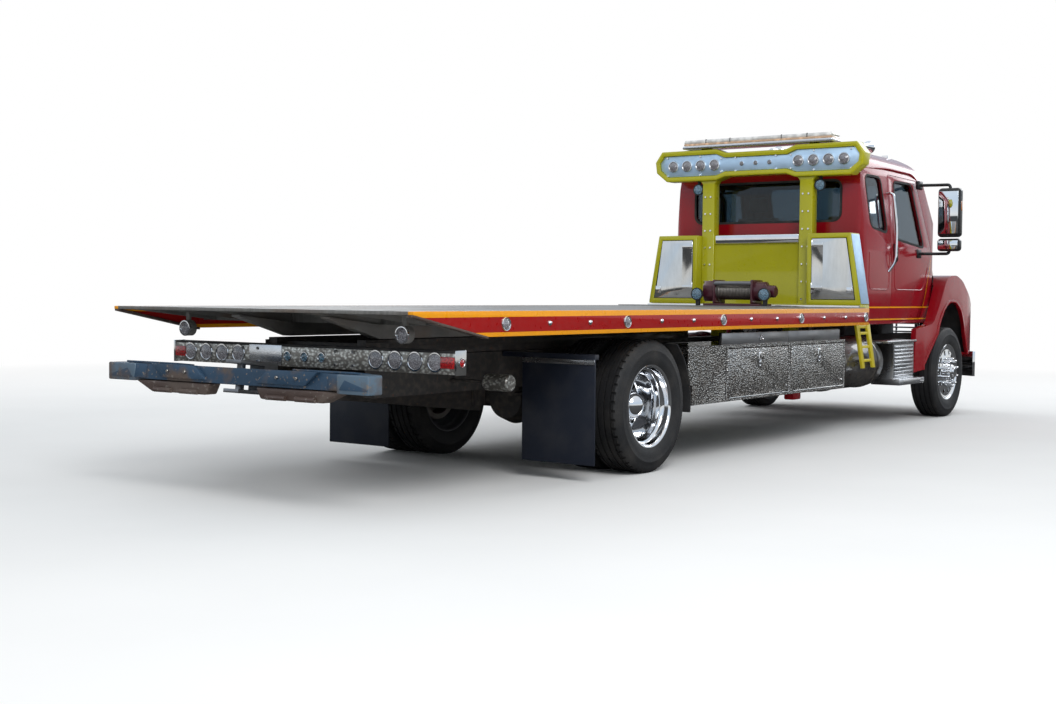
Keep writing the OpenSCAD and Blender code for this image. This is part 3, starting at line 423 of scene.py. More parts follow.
class StageSettings(bpy.types.PropertyGroup):
    """Camera and lights"""

    back: length("Camera back", "Camera's distance behind the rear axle", 8.666)
    side: length("Camera side", "Camera's distance to the right of the centre line", 6.375)
    height: length("Camera height", "Camera's height over the ground", 1.272)
    yaw: angle("Yaw", "Camera's turn from straight ahead to the left", 35.84)
    pitch: angle("Pitch", "Camera's tilt above the horizon", -2.35)
    roll: angle("Roll", "Camera's turn about its own line of sight", 0.54)
    lens: bpy.props.FloatProperty(name="Lens", description="Focal length on a 36 mm sensor",
                                  default=48.03, min=1, subtype="DISTANCE_CAMERA")
    sky: bpy.props.FloatProperty(name="Sky", description="Strength of the light from all round",
                                 default=0.62, min=0)


# ---------------------------------------------------------------- finishes


class Finish:
    """One node material, built on the Object coordinates"""

    def __init__(self, name):
        self.material = bpy.data.materials.new(name)
        self.material.use_nodes = True
        self.tree = self.material.node_tree
        self.shader = self.tree.nodes["Principled BSDF"]
        self.spot = self.node("ShaderNodeTexCoord").outputs["Object"]

    def node(self, kind, settings=None, **inputs):
        made = self.tree.nodes.new(kind)
        for key, value in (settings or {}).items():
            setattr(made, key, value)
        for key, value in inputs.items():
            self.feed(made.inputs[key.replace("_", " ")], value)
        return made

    def feed(self, socket, value):
        if isinstance(value, bpy.types.NodeSocket):
            self.tree.links.new(value, socket)
        elif socket.type == "RGBA":
            socket.default_value = (*value, 1)
        else:
            socket.default_value = value

    def stretched(self, scale):
        return self.node("ShaderNodeMapping", Vector=self.spot, Scale=scale).outputs["Vector"]

    def noise(self, scale, detail=3, stretch=None):
        where = self.stretched(stretch) if stretch else self.spot
        return self.node("ShaderNodeTexNoise", Vector=where, Scale=scale, Detail=detail).outputs["Fac"]

    def cells(self, scale, feature="F1", stretch=None):
        where = self.stretched(stretch) if stretch else self.spot
        return self.node("ShaderNodeTexVoronoi", {"feature": feature},
                         Vector=where, Scale=scale).outputs["Distance"]

    def ramp(self, value, start, end, low=0.0, high=1.0):
        return self.node("ShaderNodeMapRange", Value=value, From_Min=start, From_Max=end,
                         To_Min=low, To_Max=high).outputs["Result"]

    def math(self, operation, a, b=0.0):
        made = self.node("ShaderNodeMath", {"operation": operation})
        self.feed(made.inputs[0], a)
        self.feed(made.inputs[1], b)
        return made.outputs[0]

    def mix(self, factor, a, b):
        made = self.node("ShaderNodeMix", {"data_type": "RGBA"})
        self.feed(made.inputs[0], factor)
        self.feed(made.inputs[6], a)
        self.feed(made.inputs[7], b)
        return made.outputs[2]

    def along(self, axis):
        return self.node("ShaderNodeSeparateXYZ", Vector=self.spot).outputs[axis]

    def band(self, value, centre, half):
        """1 where a value lies within half of centre"""
        return self.math("LESS_THAN", self.math("ABSOLUTE", self.math("SUBTRACT", value, centre)), half)

    def bump(self, height, depth):
        return self.node("ShaderNodeBump", Height=height, Distance=depth).outputs["Normal"]

    def shade(self, **inputs):
        for key, value in inputs.items():
            self.feed(self.shader.inputs[key.replace("_", " ")], value)
        return self.material


def times(tone, by):
    return tuple(min(1.0, part * by) for part in tone)


ROAD_DUST = (0.23, 0.19, 0.15)


def paint(name, tone, gloss=0.24, coat=0.7, dust=0.10, chips=0.0, stripes=None):
    """Sprayed paint: cloudy tone, dust in specks that thicken towards the bottom, orange peel and a clear
    coat
    """
    f = Finish(name)
    speck = f.noise(23, 6)
    base = f.mix(f.noise(1.3), times(tone, 0.82), times(tone, 1.15))
    if stripes:
        base = stripes(f, base)
    low_dirt = f.ramp(f.along("Z"), 1.1, 0.2, 0, 0.14)
    dirty = f.math("MULTIPLY", f.ramp(speck, 0.45, 0.75, 0.25, 1), f.math("ADD", low_dirt, dust))
    base = f.mix(dirty, base, ROAD_DUST)
    if chips:
        base = f.mix(f.ramp(f.noise(34, 8), 0.70 - chips, 0.72 - chips), base, (0.09, 0.05, 0.035))
    return f.shade(Base_Color=base, Roughness=f.ramp(speck, 0.3, 0.7, gloss * 0.8, gloss * 1.5),
                   Coat_Weight=coat, Coat_Roughness=0.05, Specular_IOR_Level=0.3,
                   Normal=f.bump(f.noise(160, 2), 0.0004))


def metal(name, tone, rough, grain=(1, 1, 1), scale=60, stain=0.2, depth=0.0003):
    """Bare metal: grain along one way, faint stains and finger marks"""
    f = Finish(name)
    lines = f.noise(scale, 5, grain)
    patches = f.noise(3.1, 5)
    base = f.mix(f.ramp(patches, 0.35, 0.75, 0, stain), tone, times(tone, 0.45))
    base = f.mix(f.ramp(lines, 0.4, 0.7, 0, 0.25), base, times(tone, 0.7))
    mixed = f.math("ADD", f.ramp(lines, 0.3, 0.7, -0.03, 0.03),
                   f.ramp(patches, 0.3, 0.7, rough * 0.7, rough * 1.5))
    return f.shade(Base_Color=base, Metallic=1.0, Roughness=mixed, Normal=f.bump(lines, depth))


def quilted(name, tone, scale, depth, rough):
    """Stainless sheet rolled with a small raised pattern"""
    f = Finish(name)
    cells = f.cells(scale, "SMOOTH_F1", (1, 1, 1.5))
    patches = f.noise(9, 6)
    base = f.mix(f.ramp(cells, 0.12, 0.5), times(tone, 1.15), times(tone, 0.32))
    base = f.mix(f.ramp(patches, 0.45, 0.7, 0, 0.35), base, (0.28, 0.23, 0.19))
    return f.shade(Base_Color=base, Metallic=0.9, Roughness=f.ramp(patches, 0.3, 0.7, rough, rough * 1.6),
                   Normal=f.bump(cells, depth))


def rubber(name, tone, rough=0.72, dust=0.35):
    f = Finish(name)
    grain = f.noise(120, 4)
    patches = f.noise(5, 6)
    base = f.mix(f.ramp(patches, 0.45, 0.75, 0, dust), tone, (0.11, 0.095, 0.08))
    return f.shade(Base_Color=base, Roughness=f.ramp(grain, 0.3, 0.7, rough - 0.12, rough + 0.1),
                   Normal=f.bump(grain, 0.0006))


def lens(name, tone, cell=150, depth=0.0012, rough=0.12, dark=0.35):
    """Moulded lamp glass over a cellular reflector"""
    f = Finish(name)
    cells = f.cells(cell, "F1")
    base = f.mix(f.ramp(cells, 0.1, 0.6), times(tone, 1.25), times(tone, dark))
    return f.shade(Base_Color=base, Roughness=rough, Coat_Weight=1.0, Coat_Roughness=0.02,
                   Specular_IOR_Level=0.7, Normal=f.bump(cells, depth))


def plastic(name, tone, rough=0.4, depth=0.0004, scale=220):
    f = Finish(name)
    grain = f.noise(scale, 3)
    base = f.mix(f.noise(4), times(tone, 0.8), times(tone, 1.3))
    return f.shade(Base_Color=base, Roughness=f.ramp(grain, 0.3, 0.7, rough * 0.8, rough * 1.3),
                   Normal=f.bump(grain, depth))


def rail_stripes(f, base):
    """Amber bands along the top and bottom edge of the side rails"""
    z = f.along("Z")
    edge = f.noise(40)
    amber = f.mix(edge, times(colours().amber, 0.85), colours().amber)
    base = f.mix(f.band(z, DECK_Z - 0.016, 0.020), base, amber)
    return f.mix(f.band(z, RAIL_LOW + 0.011, 0.015), base, amber)


def cab_stripes(f, base):
    """Two thin pinstripes along the foot of the cab, and one that leans up the door's front"""
    z = f.along("Z")
    amber = tuple(colours().amber)
    half, lean = 0.007, 0.42
    for height in (0.165, 0.045):
        base = f.mix(f.band(z, CAB.z + height, half), base, amber)
    slant = f.math("SUBTRACT", f.along("X"), f.math("MULTIPLY", z, lean))
    line = f.band(slant, CAB.x + 1.60 - lean * (CAB.z + 0.17), half)
    upper = f.math("MULTIPLY", f.band(z, CAB.z + 0.42, 0.25), line)
    return f.mix(upper, base, amber)


def glass(name):
    """Tinted glass with faint smears"""
    f = Finish(name)
    smear = f.noise(6, 5)
    tint = f.mix(smear, (0.10, 0.15, 0.19), (0.16, 0.22, 0.26))
    return f.shade(Base_Color=tint, Transmission_Weight=1.0, IOR=1.45,
                   Roughness=f.ramp(smear, 0.3, 0.8, 0.0, 0.04))


def cloth(name):
    """Woven seat cloth with a tone that varies thread by thread"""
    f = Finish(name)
    tone = colours().seat
    warp, weft = (f.node("ShaderNodeTexWave", {"bands_direction": way}, Vector=f.spot, Scale=170,
                         Distortion=1.2).outputs["Fac"] for way in "XZ")
    weave = f.math("MULTIPLY", warp, weft)
    base = f.mix(weave, times(tone, 0.6), times(tone, 1.7))
    return f.shade(Base_Color=base, Roughness=0.92, Sheen_Weight=0.4, Normal=f.bump(weave, 0.0006))


def deck_plate(name):
    """Bare deck plate: long scuffs, rust bloom and tyre marks"""
    f = Finish(name)
    scuffs = f.noise(9, 8, (0.5, 7, 1))
    bloom = f.noise(2.2, 8)
    base = f.mix(scuffs, (0.13, 0.125, 0.12), (0.34, 0.33, 0.31))
    base = f.mix(f.ramp(bloom, 0.52, 0.72, 0, 0.6), base, (0.16, 0.085, 0.045))
    return f.shade(Base_Color=base, Metallic=0.55, Roughness=f.ramp(scuffs, 0.3, 0.7, 0.34, 0.6),
                   Normal=f.bump(scuffs, 0.0012))


def worn(name, tone):
    """Old paint on the lift: rubbed to bare steel and rust in patches"""
    f = Finish(name)
    patches = f.noise(4, 10)
    fine = f.noise(38, 8)
    base = f.mix(f.noise(1.7), times(tone, 0.6), times(tone, 1.4))
    base = f.mix(f.ramp(patches, 0.52, 0.62), base, (0.12, 0.09, 0.075))
    base = f.mix(f.ramp(fine, 0.62, 0.68), base, (0.2, 0.17, 0.15))
    return f.shade(Base_Color=base, Metallic=0.25, Roughness=f.ramp(patches, 0.4, 0.65, 0.35, 0.7),
                   Normal=f.bump(fine, 0.0012))


FINISHES = {
    "chassis_black": lambda n: paint(n, (0.018, 0.018, 0.02), 0.5, 0.1, 0.25, 0.02),
    "engine_grey": lambda n: metal(n, (0.22, 0.22, 0.23), 0.55, scale=30, depth=0.001),
    "exhaust_steel": lambda n: metal(n, (0.42, 0.39, 0.36), 0.4, scale=20, stain=0.7),
    "tank_black": lambda n: paint(n, (0.014, 0.014, 0.016), 0.3, 0.5, 0.2),
    "bright_aluminium": lambda n: metal(n, (0.72, 0.73, 0.75), 0.22, (0.3, 1, 6), 40),
    "chrome_trim": lambda n: metal(n, (0.82, 0.83, 0.85), 0.05, scale=12, stain=0.08, depth=0.00005),
    "cab_red": lambda n: paint(n, colours().cab_red, 0.16, 0.35, 0.02, stripes=cab_stripes),
    "hood_red": lambda n: paint(n, colours().cab_red, 0.16, 0.35, 0.02),
    "glass": glass,
    "seat_cloth": cloth,
    "dash_plastic": lambda n: plastic(n, (0.03, 0.03, 0.033), 0.55),
    "textured_steel": lambda n: quilted(n, (0.74, 0.72, 0.69), 62, 0.006, 0.1),
    "speckled_steel": lambda n: quilted(n, (0.95, 0.90, 0.82), 46, 0.0008, 0.32),
    "polished_steel": lambda n: metal(n, (0.74, 0.73, 0.71), 0.1, (1, 1, 0.2), 30, 0.25, 0.0001),
    "flap_rubber": lambda n: rubber(n, (0.008, 0.012, 0.024), 0.5, 0.15),
    "liner_black": lambda n: rubber(n, (0.014, 0.014, 0.015), 0.75, 0.4),
    # Painted shade: the headboard and pod paint is a darker, greener copy of the ladders' yellow
    "board_yellow": lambda n: paint(n, colours().board, 0.3, 0.6, 0.05),
    "pod_plate": lambda n: metal(n, (0.62, 0.80, 0.98), 0.5, (1, 0.3, 1), 30, 0.1, 0.0001),
    "beacon_plastic": lambda n: lens(n, (0.8, 0.79, 0.76), 14, 0.0004, 0.1, 0.75),
    "beacon_amber": lambda n: lens(n, (0.78, 0.5, 0.3), 20, 0.0005, 0.1, 0.7),
    "ladder_yellow": lambda n: paint(n, colours().ladder, 0.35, 0.5, 0.1),
    "mirror_black": lambda n: plastic(n, (0.012, 0.012, 0.013), 0.25, 0.0002),
    "mirror_glass": lambda n: metal(n, (0.85, 0.87, 0.9), 0.03, scale=5, stain=0.05, depth=0.00002),
    "lamp_chrome": lambda n: metal(n, (0.8, 0.81, 0.83), 0.08, scale=12, stain=0.1, depth=0.00005),
    "lamp_grey": lambda n: lens(n, (0.34, 0.33, 0.36)),
    "lamp_blue": lambda n: lens(n, (0.16, 0.3, 0.42), 90),
    "lamp_red": lambda n: lens(n, (0.5, 0.008, 0.01), 120),
    "lamp_amber": lambda n: lens(n, (0.75, 0.22, 0.01), 120),
    "rim_aluminium": lambda n: metal(n, (0.84, 0.85, 0.87), 0.07, scale=18, stain=0.12, depth=0.0001),
    "tyre_rubber": lambda n: rubber(n, (0.011, 0.011, 0.012), 0.66, 0.22),
    "rod_chrome": lambda n: metal(n, (0.78, 0.79, 0.8), 0.08, scale=30),
    "deck_steel": deck_plate,
    "rail_red": lambda n: paint(n, colours().rail_red, 0.3, 0.25, 0.03, stripes=rail_stripes),
    "winch_maroon": lambda n: paint(n, colours().winch, 0.35, 0.5, 0.08),
    "wire_rope": lambda n: metal(n, (0.24, 0.22, 0.2), 0.45, scale=90, stain=0.6, depth=0.001),
    "lift_blue": lambda n: worn(n, colours().lift),
    "lift_rust": lambda n: worn(n, (0.09, 0.06, 0.05)),
    "lift_grey": lambda n: worn(n, (0.10, 0.15, 0.20)),
    "strip_steel": lambda n: metal(n, (0.40, 0.40, 0.41), 0.35, (0.3, 1, 6), 40, 0.3),
    "stinger_steel": lambda n: metal(n, (0.3, 0.3, 0.31), 0.35, (0.3, 1, 1), 40, 0.7),
}


def material(finish):
    """The node material of a finish, made the first time it's asked for"""
    name = finish + "_finish"
    return bpy.data.materials.get(name) or FINISHES[finish](name)


# ---------------------------------------------------------------- stage


class TRUCK_OT_stage(bpy.types.Operator):
    """Set the pale floor, the soft lights, the sky and the camera"""

    bl_idname = "truck.stage"
    bl_label = "Stage"

    def execute(self, context):
        setting = context.scene.stage_settings
        self.floor()
        self.sky(context, setting)
        self.lights()
        self.camera(context, setting)
        context.scene.view_settings.view_transform = "Standard"
        return {"FINISHED"}

    def floor(self):
        deselect()
        bpy.ops.mesh.primitive_plane_add(size=400)
        ground = bpy.context.object
        ground.name = "floor"
        f = Finish("floor")
        pale = f.mix(f.noise(0.8, 5), (0.86, 0.86, 0.85), (0.92, 0.92, 0.91))
        reach = f.node("ShaderNodeVectorMath", {"operation": "LENGTH"}, Vector=f.spot).outputs["Value"]
        path = f.node("ShaderNodeLightPath")
        far = f.math("MULTIPLY", f.ramp(reach, 6, 15), path.outputs["Is Camera Ray"])
        dark = f.mix(path.outputs["Is Glossy Ray"], pale, (0.10, 0.10, 0.10))
        f.shade(Base_Color=f.mix(far, dark, (0, 0, 0)), Roughness=0.85, Specular_IOR_Level=0.0,
                Emission_Color=(1, 1, 1), Emission_Strength=far)
        ground.data.materials.append(f.material)

    def sky(self, context, setting):
        """White to the camera; reflections see dark ground, a bright horizon and blue above"""
        world = bpy.data.worlds.new("sky")
        context.scene.world = world
        world.use_nodes = True
        tree = world.node_tree
        add, link = tree.nodes.new, tree.links.new
        coordinate, split = add("ShaderNodeTexCoord"), add("ShaderNodeSeparateXYZ")
        height, fade = add("ShaderNodeMapRange"), add("ShaderNodeValToRGB")
        height.inputs["From Min"].default_value = -1
        for spot, tone in ((0.0, (0.10, 0.10, 0.11)), (0.47, (0.16, 0.16, 0.17)), (0.51, (0.82, 0.83, 0.82)),
                           (0.62, (0.62, 0.74, 0.88)), (1.0, (0.16, 0.30, 0.58))):
            fade.color_ramp.elements.new(spot).color = (*tone, 1)
        for end in (0, -1):
            fade.color_ramp.elements.remove(fade.color_ramp.elements[end])
        soft = tree.nodes["Background"]
        reflected, shown = add("ShaderNodeBackground"), add("ShaderNodeBackground")
        soft.inputs["Color"].default_value = (0.9, 0.95, 1.0, 1)
        soft.inputs["Strength"].default_value = setting.sky
        shown.inputs["Color"].default_value = (1, 1, 1, 1)
        path, seen = add("ShaderNodeLightPath"), add("ShaderNodeMath")
        seen.operation = "MAXIMUM"
        unseen, whole = add("ShaderNodeMixShader"), add("ShaderNodeMixShader")
        for source, target in (
                (coordinate.outputs["Generated"], split.inputs[0]),
                (split.outputs["Z"], height.inputs["Value"]),
                (height.outputs["Result"], fade.inputs["Fac"]),
                (fade.outputs["Color"], reflected.inputs["Color"]),
                (path.outputs["Is Glossy Ray"], unseen.inputs["Fac"]), (soft.outputs[0], unseen.inputs[1]),
                (reflected.outputs[0], unseen.inputs[2]), (path.outputs["Is Camera Ray"], seen.inputs[0]),
                (path.outputs["Is Transmission Ray"], seen.inputs[1]), (seen.outputs[0], whole.inputs["Fac"]),
                (unseen.outputs[0], whole.inputs[1]), (shown.outputs[0], whole.inputs[2]),
                (whole.outputs[0], tree.nodes["World Output"].inputs["Surface"])):
            link(source, target)

    def lights(self):
        for name, spot, size, power in (("key", (-9, -9, 9), 6, 900), ("fill", (4, 10, 8), 8, 350),
                                        ("front", (12, -3, 7), 6, 350)):
            deselect()
            bpy.ops.object.light_add(type="AREA", location=spot)
            lamp = bpy.context.object
            lamp.name = name
            lamp.rotation_euler = (Vector((0, 0, 1)) - Vector(spot)).to_track_quat("-Z", "Y").to_euler()
            lamp.data.size = size
            lamp.data.energy = power

    def camera(self, context, setting):
        deselect()
        bpy.ops.object.camera_add()
        camera = bpy.context.object
        ahead = Vector((math.cos(setting.pitch) * math.cos(setting.yaw),
                        math.cos(setting.pitch) * math.sin(setting.yaw), math.sin(setting.pitch)))
        right = ahead.cross((0, 0, 1)).normalized()
        up = right.cross(ahead)
        across = right * math.cos(setting.roll) + up * math.sin(setting.roll)
        above = up * math.cos(setting.roll) - right * math.sin(setting.roll)
        turn = Matrix((across, above, -ahead)).transposed().to_4x4()
        spot = (REAR_X - setting.back, -setting.side, setting.height)
        camera.matrix_world = Matrix.Translation(spot) @ turn
        camera.data.sensor_width = 36
        camera.data.lens = setting.lens
        camera.data.clip_end = 500
        context.scene.camera = camera


# ---------------------------------------------------------------- wheels


def tyre_profile(half, radius, depth):
    """A closed tyre section: beads, bowed walls with a scuff ring, ribbed tread"""
    wall = [(RIM_R + r, half * y) for r, y in (
        (0.001, 0.72), (0.010, 0.85), (0.024, 0.90), (0.050, 0.965), (0.078, 0.99), (0.108, 0.992),
        (0.111, 1), (0.117, 1), (0.120, 0.985))]
    wall += [(radius - r, half * y) for r, y in (
        (0.042, 0.95), (0.022, 0.90), (0.010, 0.83), (0.002, 0.775))]
    tread = []
    for centre in (0.56, 0.19, -0.19, -0.56):
        for step, sunk in ((0.052, 0), (0.034, 1), (-0.034, 1), (-0.052, 0)):
            tread.append((radius - depth * sunk, half * (centre + step)))
    return wall + tread + [(r, -a) for r, a in reversed(wall)]


class TRUCK_OT_tyres(bpy.types.Operator):
    """Model a steer tyre and a lugged drive tyre, and copy them to every wheel"""

    bl_idname = "truck.tyres"
    bl_label = "Tyres"

    def execute(self, context):
        depth = context.scene.truck_sizes.tread
        rib = self.tyre(depth, lugged=False)
        lug = self.tyre(depth, lugged=True)
        for side, sign in SIDES.items():
            steer = copied(rib, Matrix.Translation((FRONT_X, sign * FRONT_TYRE_Y, AXLE_Z)))
            finished(steer, f"{side}_steer_tyre", "tyre_rubber", f"front_{side}_wheel", f"front_{side}_tyre")
            for place_name, y in (("outer", OUTER_TYRE_Y), ("inner", INNER_TYRE_Y)):
                drive = copied(lug, Matrix.Translation((REAR_X, sign * y, AXLE_Z)))
                finished(drive, f"{side}_{place_name}_drive_tyre", "tyre_rubber",
                         f"rear_{side}_wheels", f"rear_{side}_tyres")
        remove(rib, lug)
        return {"FINISHED"}

    def tyre(self, depth, lugged):
        steps, lug_every, lug_rise = 144, 3, 0.011
        ring = lathe(tyre_profile(TYRE_W / 2, TYRE_R - 0.0005, depth), axis="Y", steps=steps)
        if lugged:
            edit(ring)
            bpy.ops.mesh.select_mode(type="FACE")
            bpy.ops.mesh.select_all(action="DESELECT")
            bpy.ops.object.mode_set(mode="OBJECT")
            for face in ring.data.polygons:
                spot = face.center
                reach = math.hypot(spot.x, spot.z)
                step = math.atan2(spot.z, spot.x) / (2 * math.pi) * steps
                shoulder = abs(spot.y) > TYRE_W * 0.31 and reach > TYRE_R - 0.012
                face.select = shoulder and int(step + steps) % lug_every == 0
            bpy.ops.object.mode_set(mode="EDIT")
            bpy.ops.mesh.extrude_region_shrink_fatten(TRANSFORM_OT_shrink_fatten={"value": -lug_rise})
            bpy.ops.object.mode_set(mode="OBJECT")
        return ring


def rim_section(dish):
    """A closed rim section whose disc lies dish inward from the tyre's middle"""
    lip = [(0.2995, 0.1130), (0.3005, 0.1165), (0.2975, 0.1195), (0.2900, 0.1190), (0.2830, 0.1140),
           (0.2780, 0.1000)]
    if dish > 0:
        barrel = [(0.2760, 0.0620), (0.2700, 0.0540), (0.2570, 0.0480), (0.2520, 0.0360),
                  (0.2500, 0.030 - dish / 2)]
        barrel += [(r, y - dish) for r, y in (
            (0.2480, 0.035), (0.2380, 0.020), (0.2150, 0.014), (0.1700, 0.014), (0.1600, 0.020),
            (0.1090, 0.020), (0.1060, 0.016), (0.1060, -0.012), (0.2400, -0.012), (0.2680, -0.006))]
    else:
        barrel = [(0.2740, 0.1080), (0.2620, 0.1030), (0.2380, 0.1050), (0.1950, 0.1110), (0.1800, 0.1150),
                  (0.0830, 0.1150), (0.0810, 0.1120), (0.0810, 0.0900), (0.1800, 0.0880), (0.2500, 0.0800),
                  (0.2720, 0.0700), (0.2720, -0.0900)]
    seat = [(0.2830, -0.1140), (0.2995, -0.1195), (0.2995, -0.1150), (0.2920, -0.1100), (RIM_R, -0.0990),
            (RIM_R, 0.0990), (0.2920, 0.1090)]
    return lip + barrel + seat


class TRUCK_OT_rims(bpy.types.Operator):
    """Spin the polished rims, drill them, and add hubs, nuts and brake drums"""

    bl_idname = "truck.rims"
    bl_label = "Rims"

    def execute(self, context):
        for side, sign in SIDES.items():
            flip = Matrix.Scale(sign, 4, (0, 1, 0))
            self.front(side, Matrix.Translation((FRONT_X, sign * FRONT_TYRE_Y, AXLE_Z)) @ flip)
            self.rear(side, sign, flip)
        return {"FINISHED"}

    def drilled(self, dish):
        """A rim on the Y axis with ten hand holes through its disc"""
        rim = lathe(rim_section(dish), axis="Y", steps=96)
        disc = -dish if dish > 0 else 0.1
        hole = lathe([(0, disc - 0.06), (0.025, disc - 0.06), (0.025, disc + 0.06), (0, disc + 0.06)],
                     axis="Y", steps=20)
        return carve(rim, spread(hole, round_axle(10, 0.212)))

    def nuts(self, start, tall):
        nut = lathe([(0, start), (0.0175, start), (0.0175, start + 0.012), (0.0155, start + 0.016),
                     (0.0150, start + tall - 0.008), (0.0110, start + tall), (0, start + tall + 0.002)],
                    axis="Y", steps=12)
        return spread(nut, round_axle(10, 0.1425, start=0.3))

    def front(self, side, spot):
        body = f"front_{side}_wheel"
        rim = self.drilled(0)
        rounded(rim, 0.0015, 2, 50)
        nuts = self.nuts(0.113, 0.075)
        cap = lathe([(0, 0.10), (0.088, 0.10), (0.088, 0.122), (0.082, 0.128), (0.080, 0.172),
                     (0.072, 0.181), (0.052, 0.184), (0.050, 0.196), (0.044, 0.202), (0, 0.204)], axis="Y")
        drum = lathe([(0.165, -0.070), (0.203, -0.070), (0.205, -0.050), (0.203, 0.055), (0.19, 0.070),
                      (0.082, 0.085), (0.082, 0.060), (0.165, 0.050)], axis="Y", steps=64)
        for piece, name, finish in ((rim, "rim", "rim_aluminium"), (joined(nuts, cap), "hub", "chrome_trim"),
                                    (drum, "drum", "exhaust_steel")):
            finished(moved(piece, spot), f"{side}_steer_{name}", finish, body, f"front_{side}_rim")

    def rear(self, side, sign, flip):
        body, stood = f"rear_{side}_wheels", f"rear_{side}_rims"
        half = (OUTER_TYRE_Y - INNER_TYRE_Y) / 2
        outer = moved(self.drilled(half - 0.002), Matrix.Translation((0, half, 0)))
        inner = copied(outer, Matrix.Rotation(math.pi, 4, "X"))
        nuts = self.nuts(0.02, 0.045)
        cap = lathe([(0, 0.0), (0.112, 0.0), (0.112, 0.105), (0.106, 0.113), (0.104, 0.118), (0.100, 0.136),
                     (0.088, 0.160), (0.066, 0.182), (0.040, 0.197), (0.018, 0.205), (0, 0.207)],
                    axis="Y", steps=64)
        drum = lathe([(0.165, -0.170), (0.205, -0.170), (0.207, -0.150), (0.203, -0.045), (0.10, -0.030),
                      (0.10, -0.05), (0.165, -0.060)], axis="Y", steps=64)
        spot = Matrix.Translation((REAR_X, sign * (OUTER_TYRE_Y + INNER_TYRE_Y) / 2, AXLE_Z)) @ flip
        for piece, name, finish in ((outer, "outer_rim", "rim_aluminium"),
                                    (inner, "inner_rim", "engine_grey"),
                                    (cap, "hub", "chrome_trim"), (nuts, "nuts", "engine_grey"),
                                    (drum, "drum", "exhaust_steel")):
            finished(moved(piece, spot), f"{side}_drive_{name}", finish, body, stood)


# ---------------------------------------------------------------- cab

CAB_SIDE = [(0, 0), (2.12, 0), (2.13, 0.62), (2.095, 0.77), (1.68, 1.5), (1.53, 1.655), (1.25, 1.735),
            (0.85, 1.75), (0.4, 1.742), (0.14, 1.69), (0.035, 1.56), (0, 1.29)]
CAB_REAR_HALF = [(CAB_HALF - 0.02, 0), (CAB_HALF, 0.26), (CAB_HALF, 0.7), (CAB_HALF - 0.075, 1.53),
                 (CAB_HALF - 0.13, 1.63), (CAB_HALF - 0.27, 1.715), (CAB_HALF - 0.6, 1.755)]
DOOR = [(0.70, 0.035), (1.54, 0.035), (1.80, 0.56), (1.80, 0.79), (1.48, 1.475), (0.70, 1.49)]
DOOR_WINDOW = [(0.87, 0.86), (1.58, 0.80), (1.335, 1.425), (0.87, 1.425)]
QUARTER_WINDOW = [(0.205, 0.96), (0.605, 0.915), (0.515, 1.44), (0.14, 1.44)]
REAR_WINDOW = [(-0.79, 1.015), (0.79, 1.015), (0.79, 1.39), (-0.79, 1.39)]
WINDSCREEN = [(-0.86, 0.81), (0.86, 0.81), (0.79, 1.46), (-0.79, 1.46)]


def cab_points(points):
    return [(CAB.x + a, CAB.z + b) for a, b in points]


def raised(points):
    return [(a, CAB.z + b) for a, b in points]


def across_cab(points, corner=0.05, grow=0.0, reach=1.2):
    """A side outline pushed through both sides of the cab"""
    return outline(grown(cab_points(points), grow), "Y", -reach, reach, corner + grow)


def cab_block():
    """The cab's outer shape as one solid with rounded corners"""
    side = outline(cab_points(CAB_SIDE), "Y", -1.2, 1.2, 0.11, only=range(3, 12), steps=5)
    half = CAB_REAR_HALF
    rear = outline(raised(half + [(-y, z) for y, z in reversed(half)]), "X", CAB.x - 0.1, CAB.x + 2.3,
                   0.10, only=range(1, 13), steps=5)
    top = outline([(CAB.x, -CAB_HALF), (CAB.x + 1.85, -CAB_HALF), (CAB.x + 2.13, 0.11 - CAB_HALF),
                   (CAB.x + 2.13, CAB_HALF - 0.11), (CAB.x + 1.85, CAB_HALF), (CAB.x, CAB_HALF)],
                  "Z", CAB.z - 0.1, CAB.z + 2, 0.10, steps=6)
    carve(side, rear, "INTERSECT")
    carve(side, top, "INTERSECT")
    return rounded(side, bpy.context.scene.truck_sizes.panel_edge, 4, 38)


def cab_middle():
    return Vector((CAB.x + 1.065, 0, CAB.z + 0.875))


def cab_skin(stand, deep):
    """The cab's outer shell, from stand outside its surface to deep inside it"""
    solid = cab_block()
    outer = resized(solid, stand, cab_middle())
    inner = resized(solid, -deep, cab_middle())
    remove(solid)
    return carve(outer, inner)


def half_space(sign):
    """A block over one side of the cab"""
    return block((CAB.x - 0.2, sign * 0.83, CAB.z - 0.2), (CAB.x + 2.4, sign * 1.3, CAB.z + 2), 0)


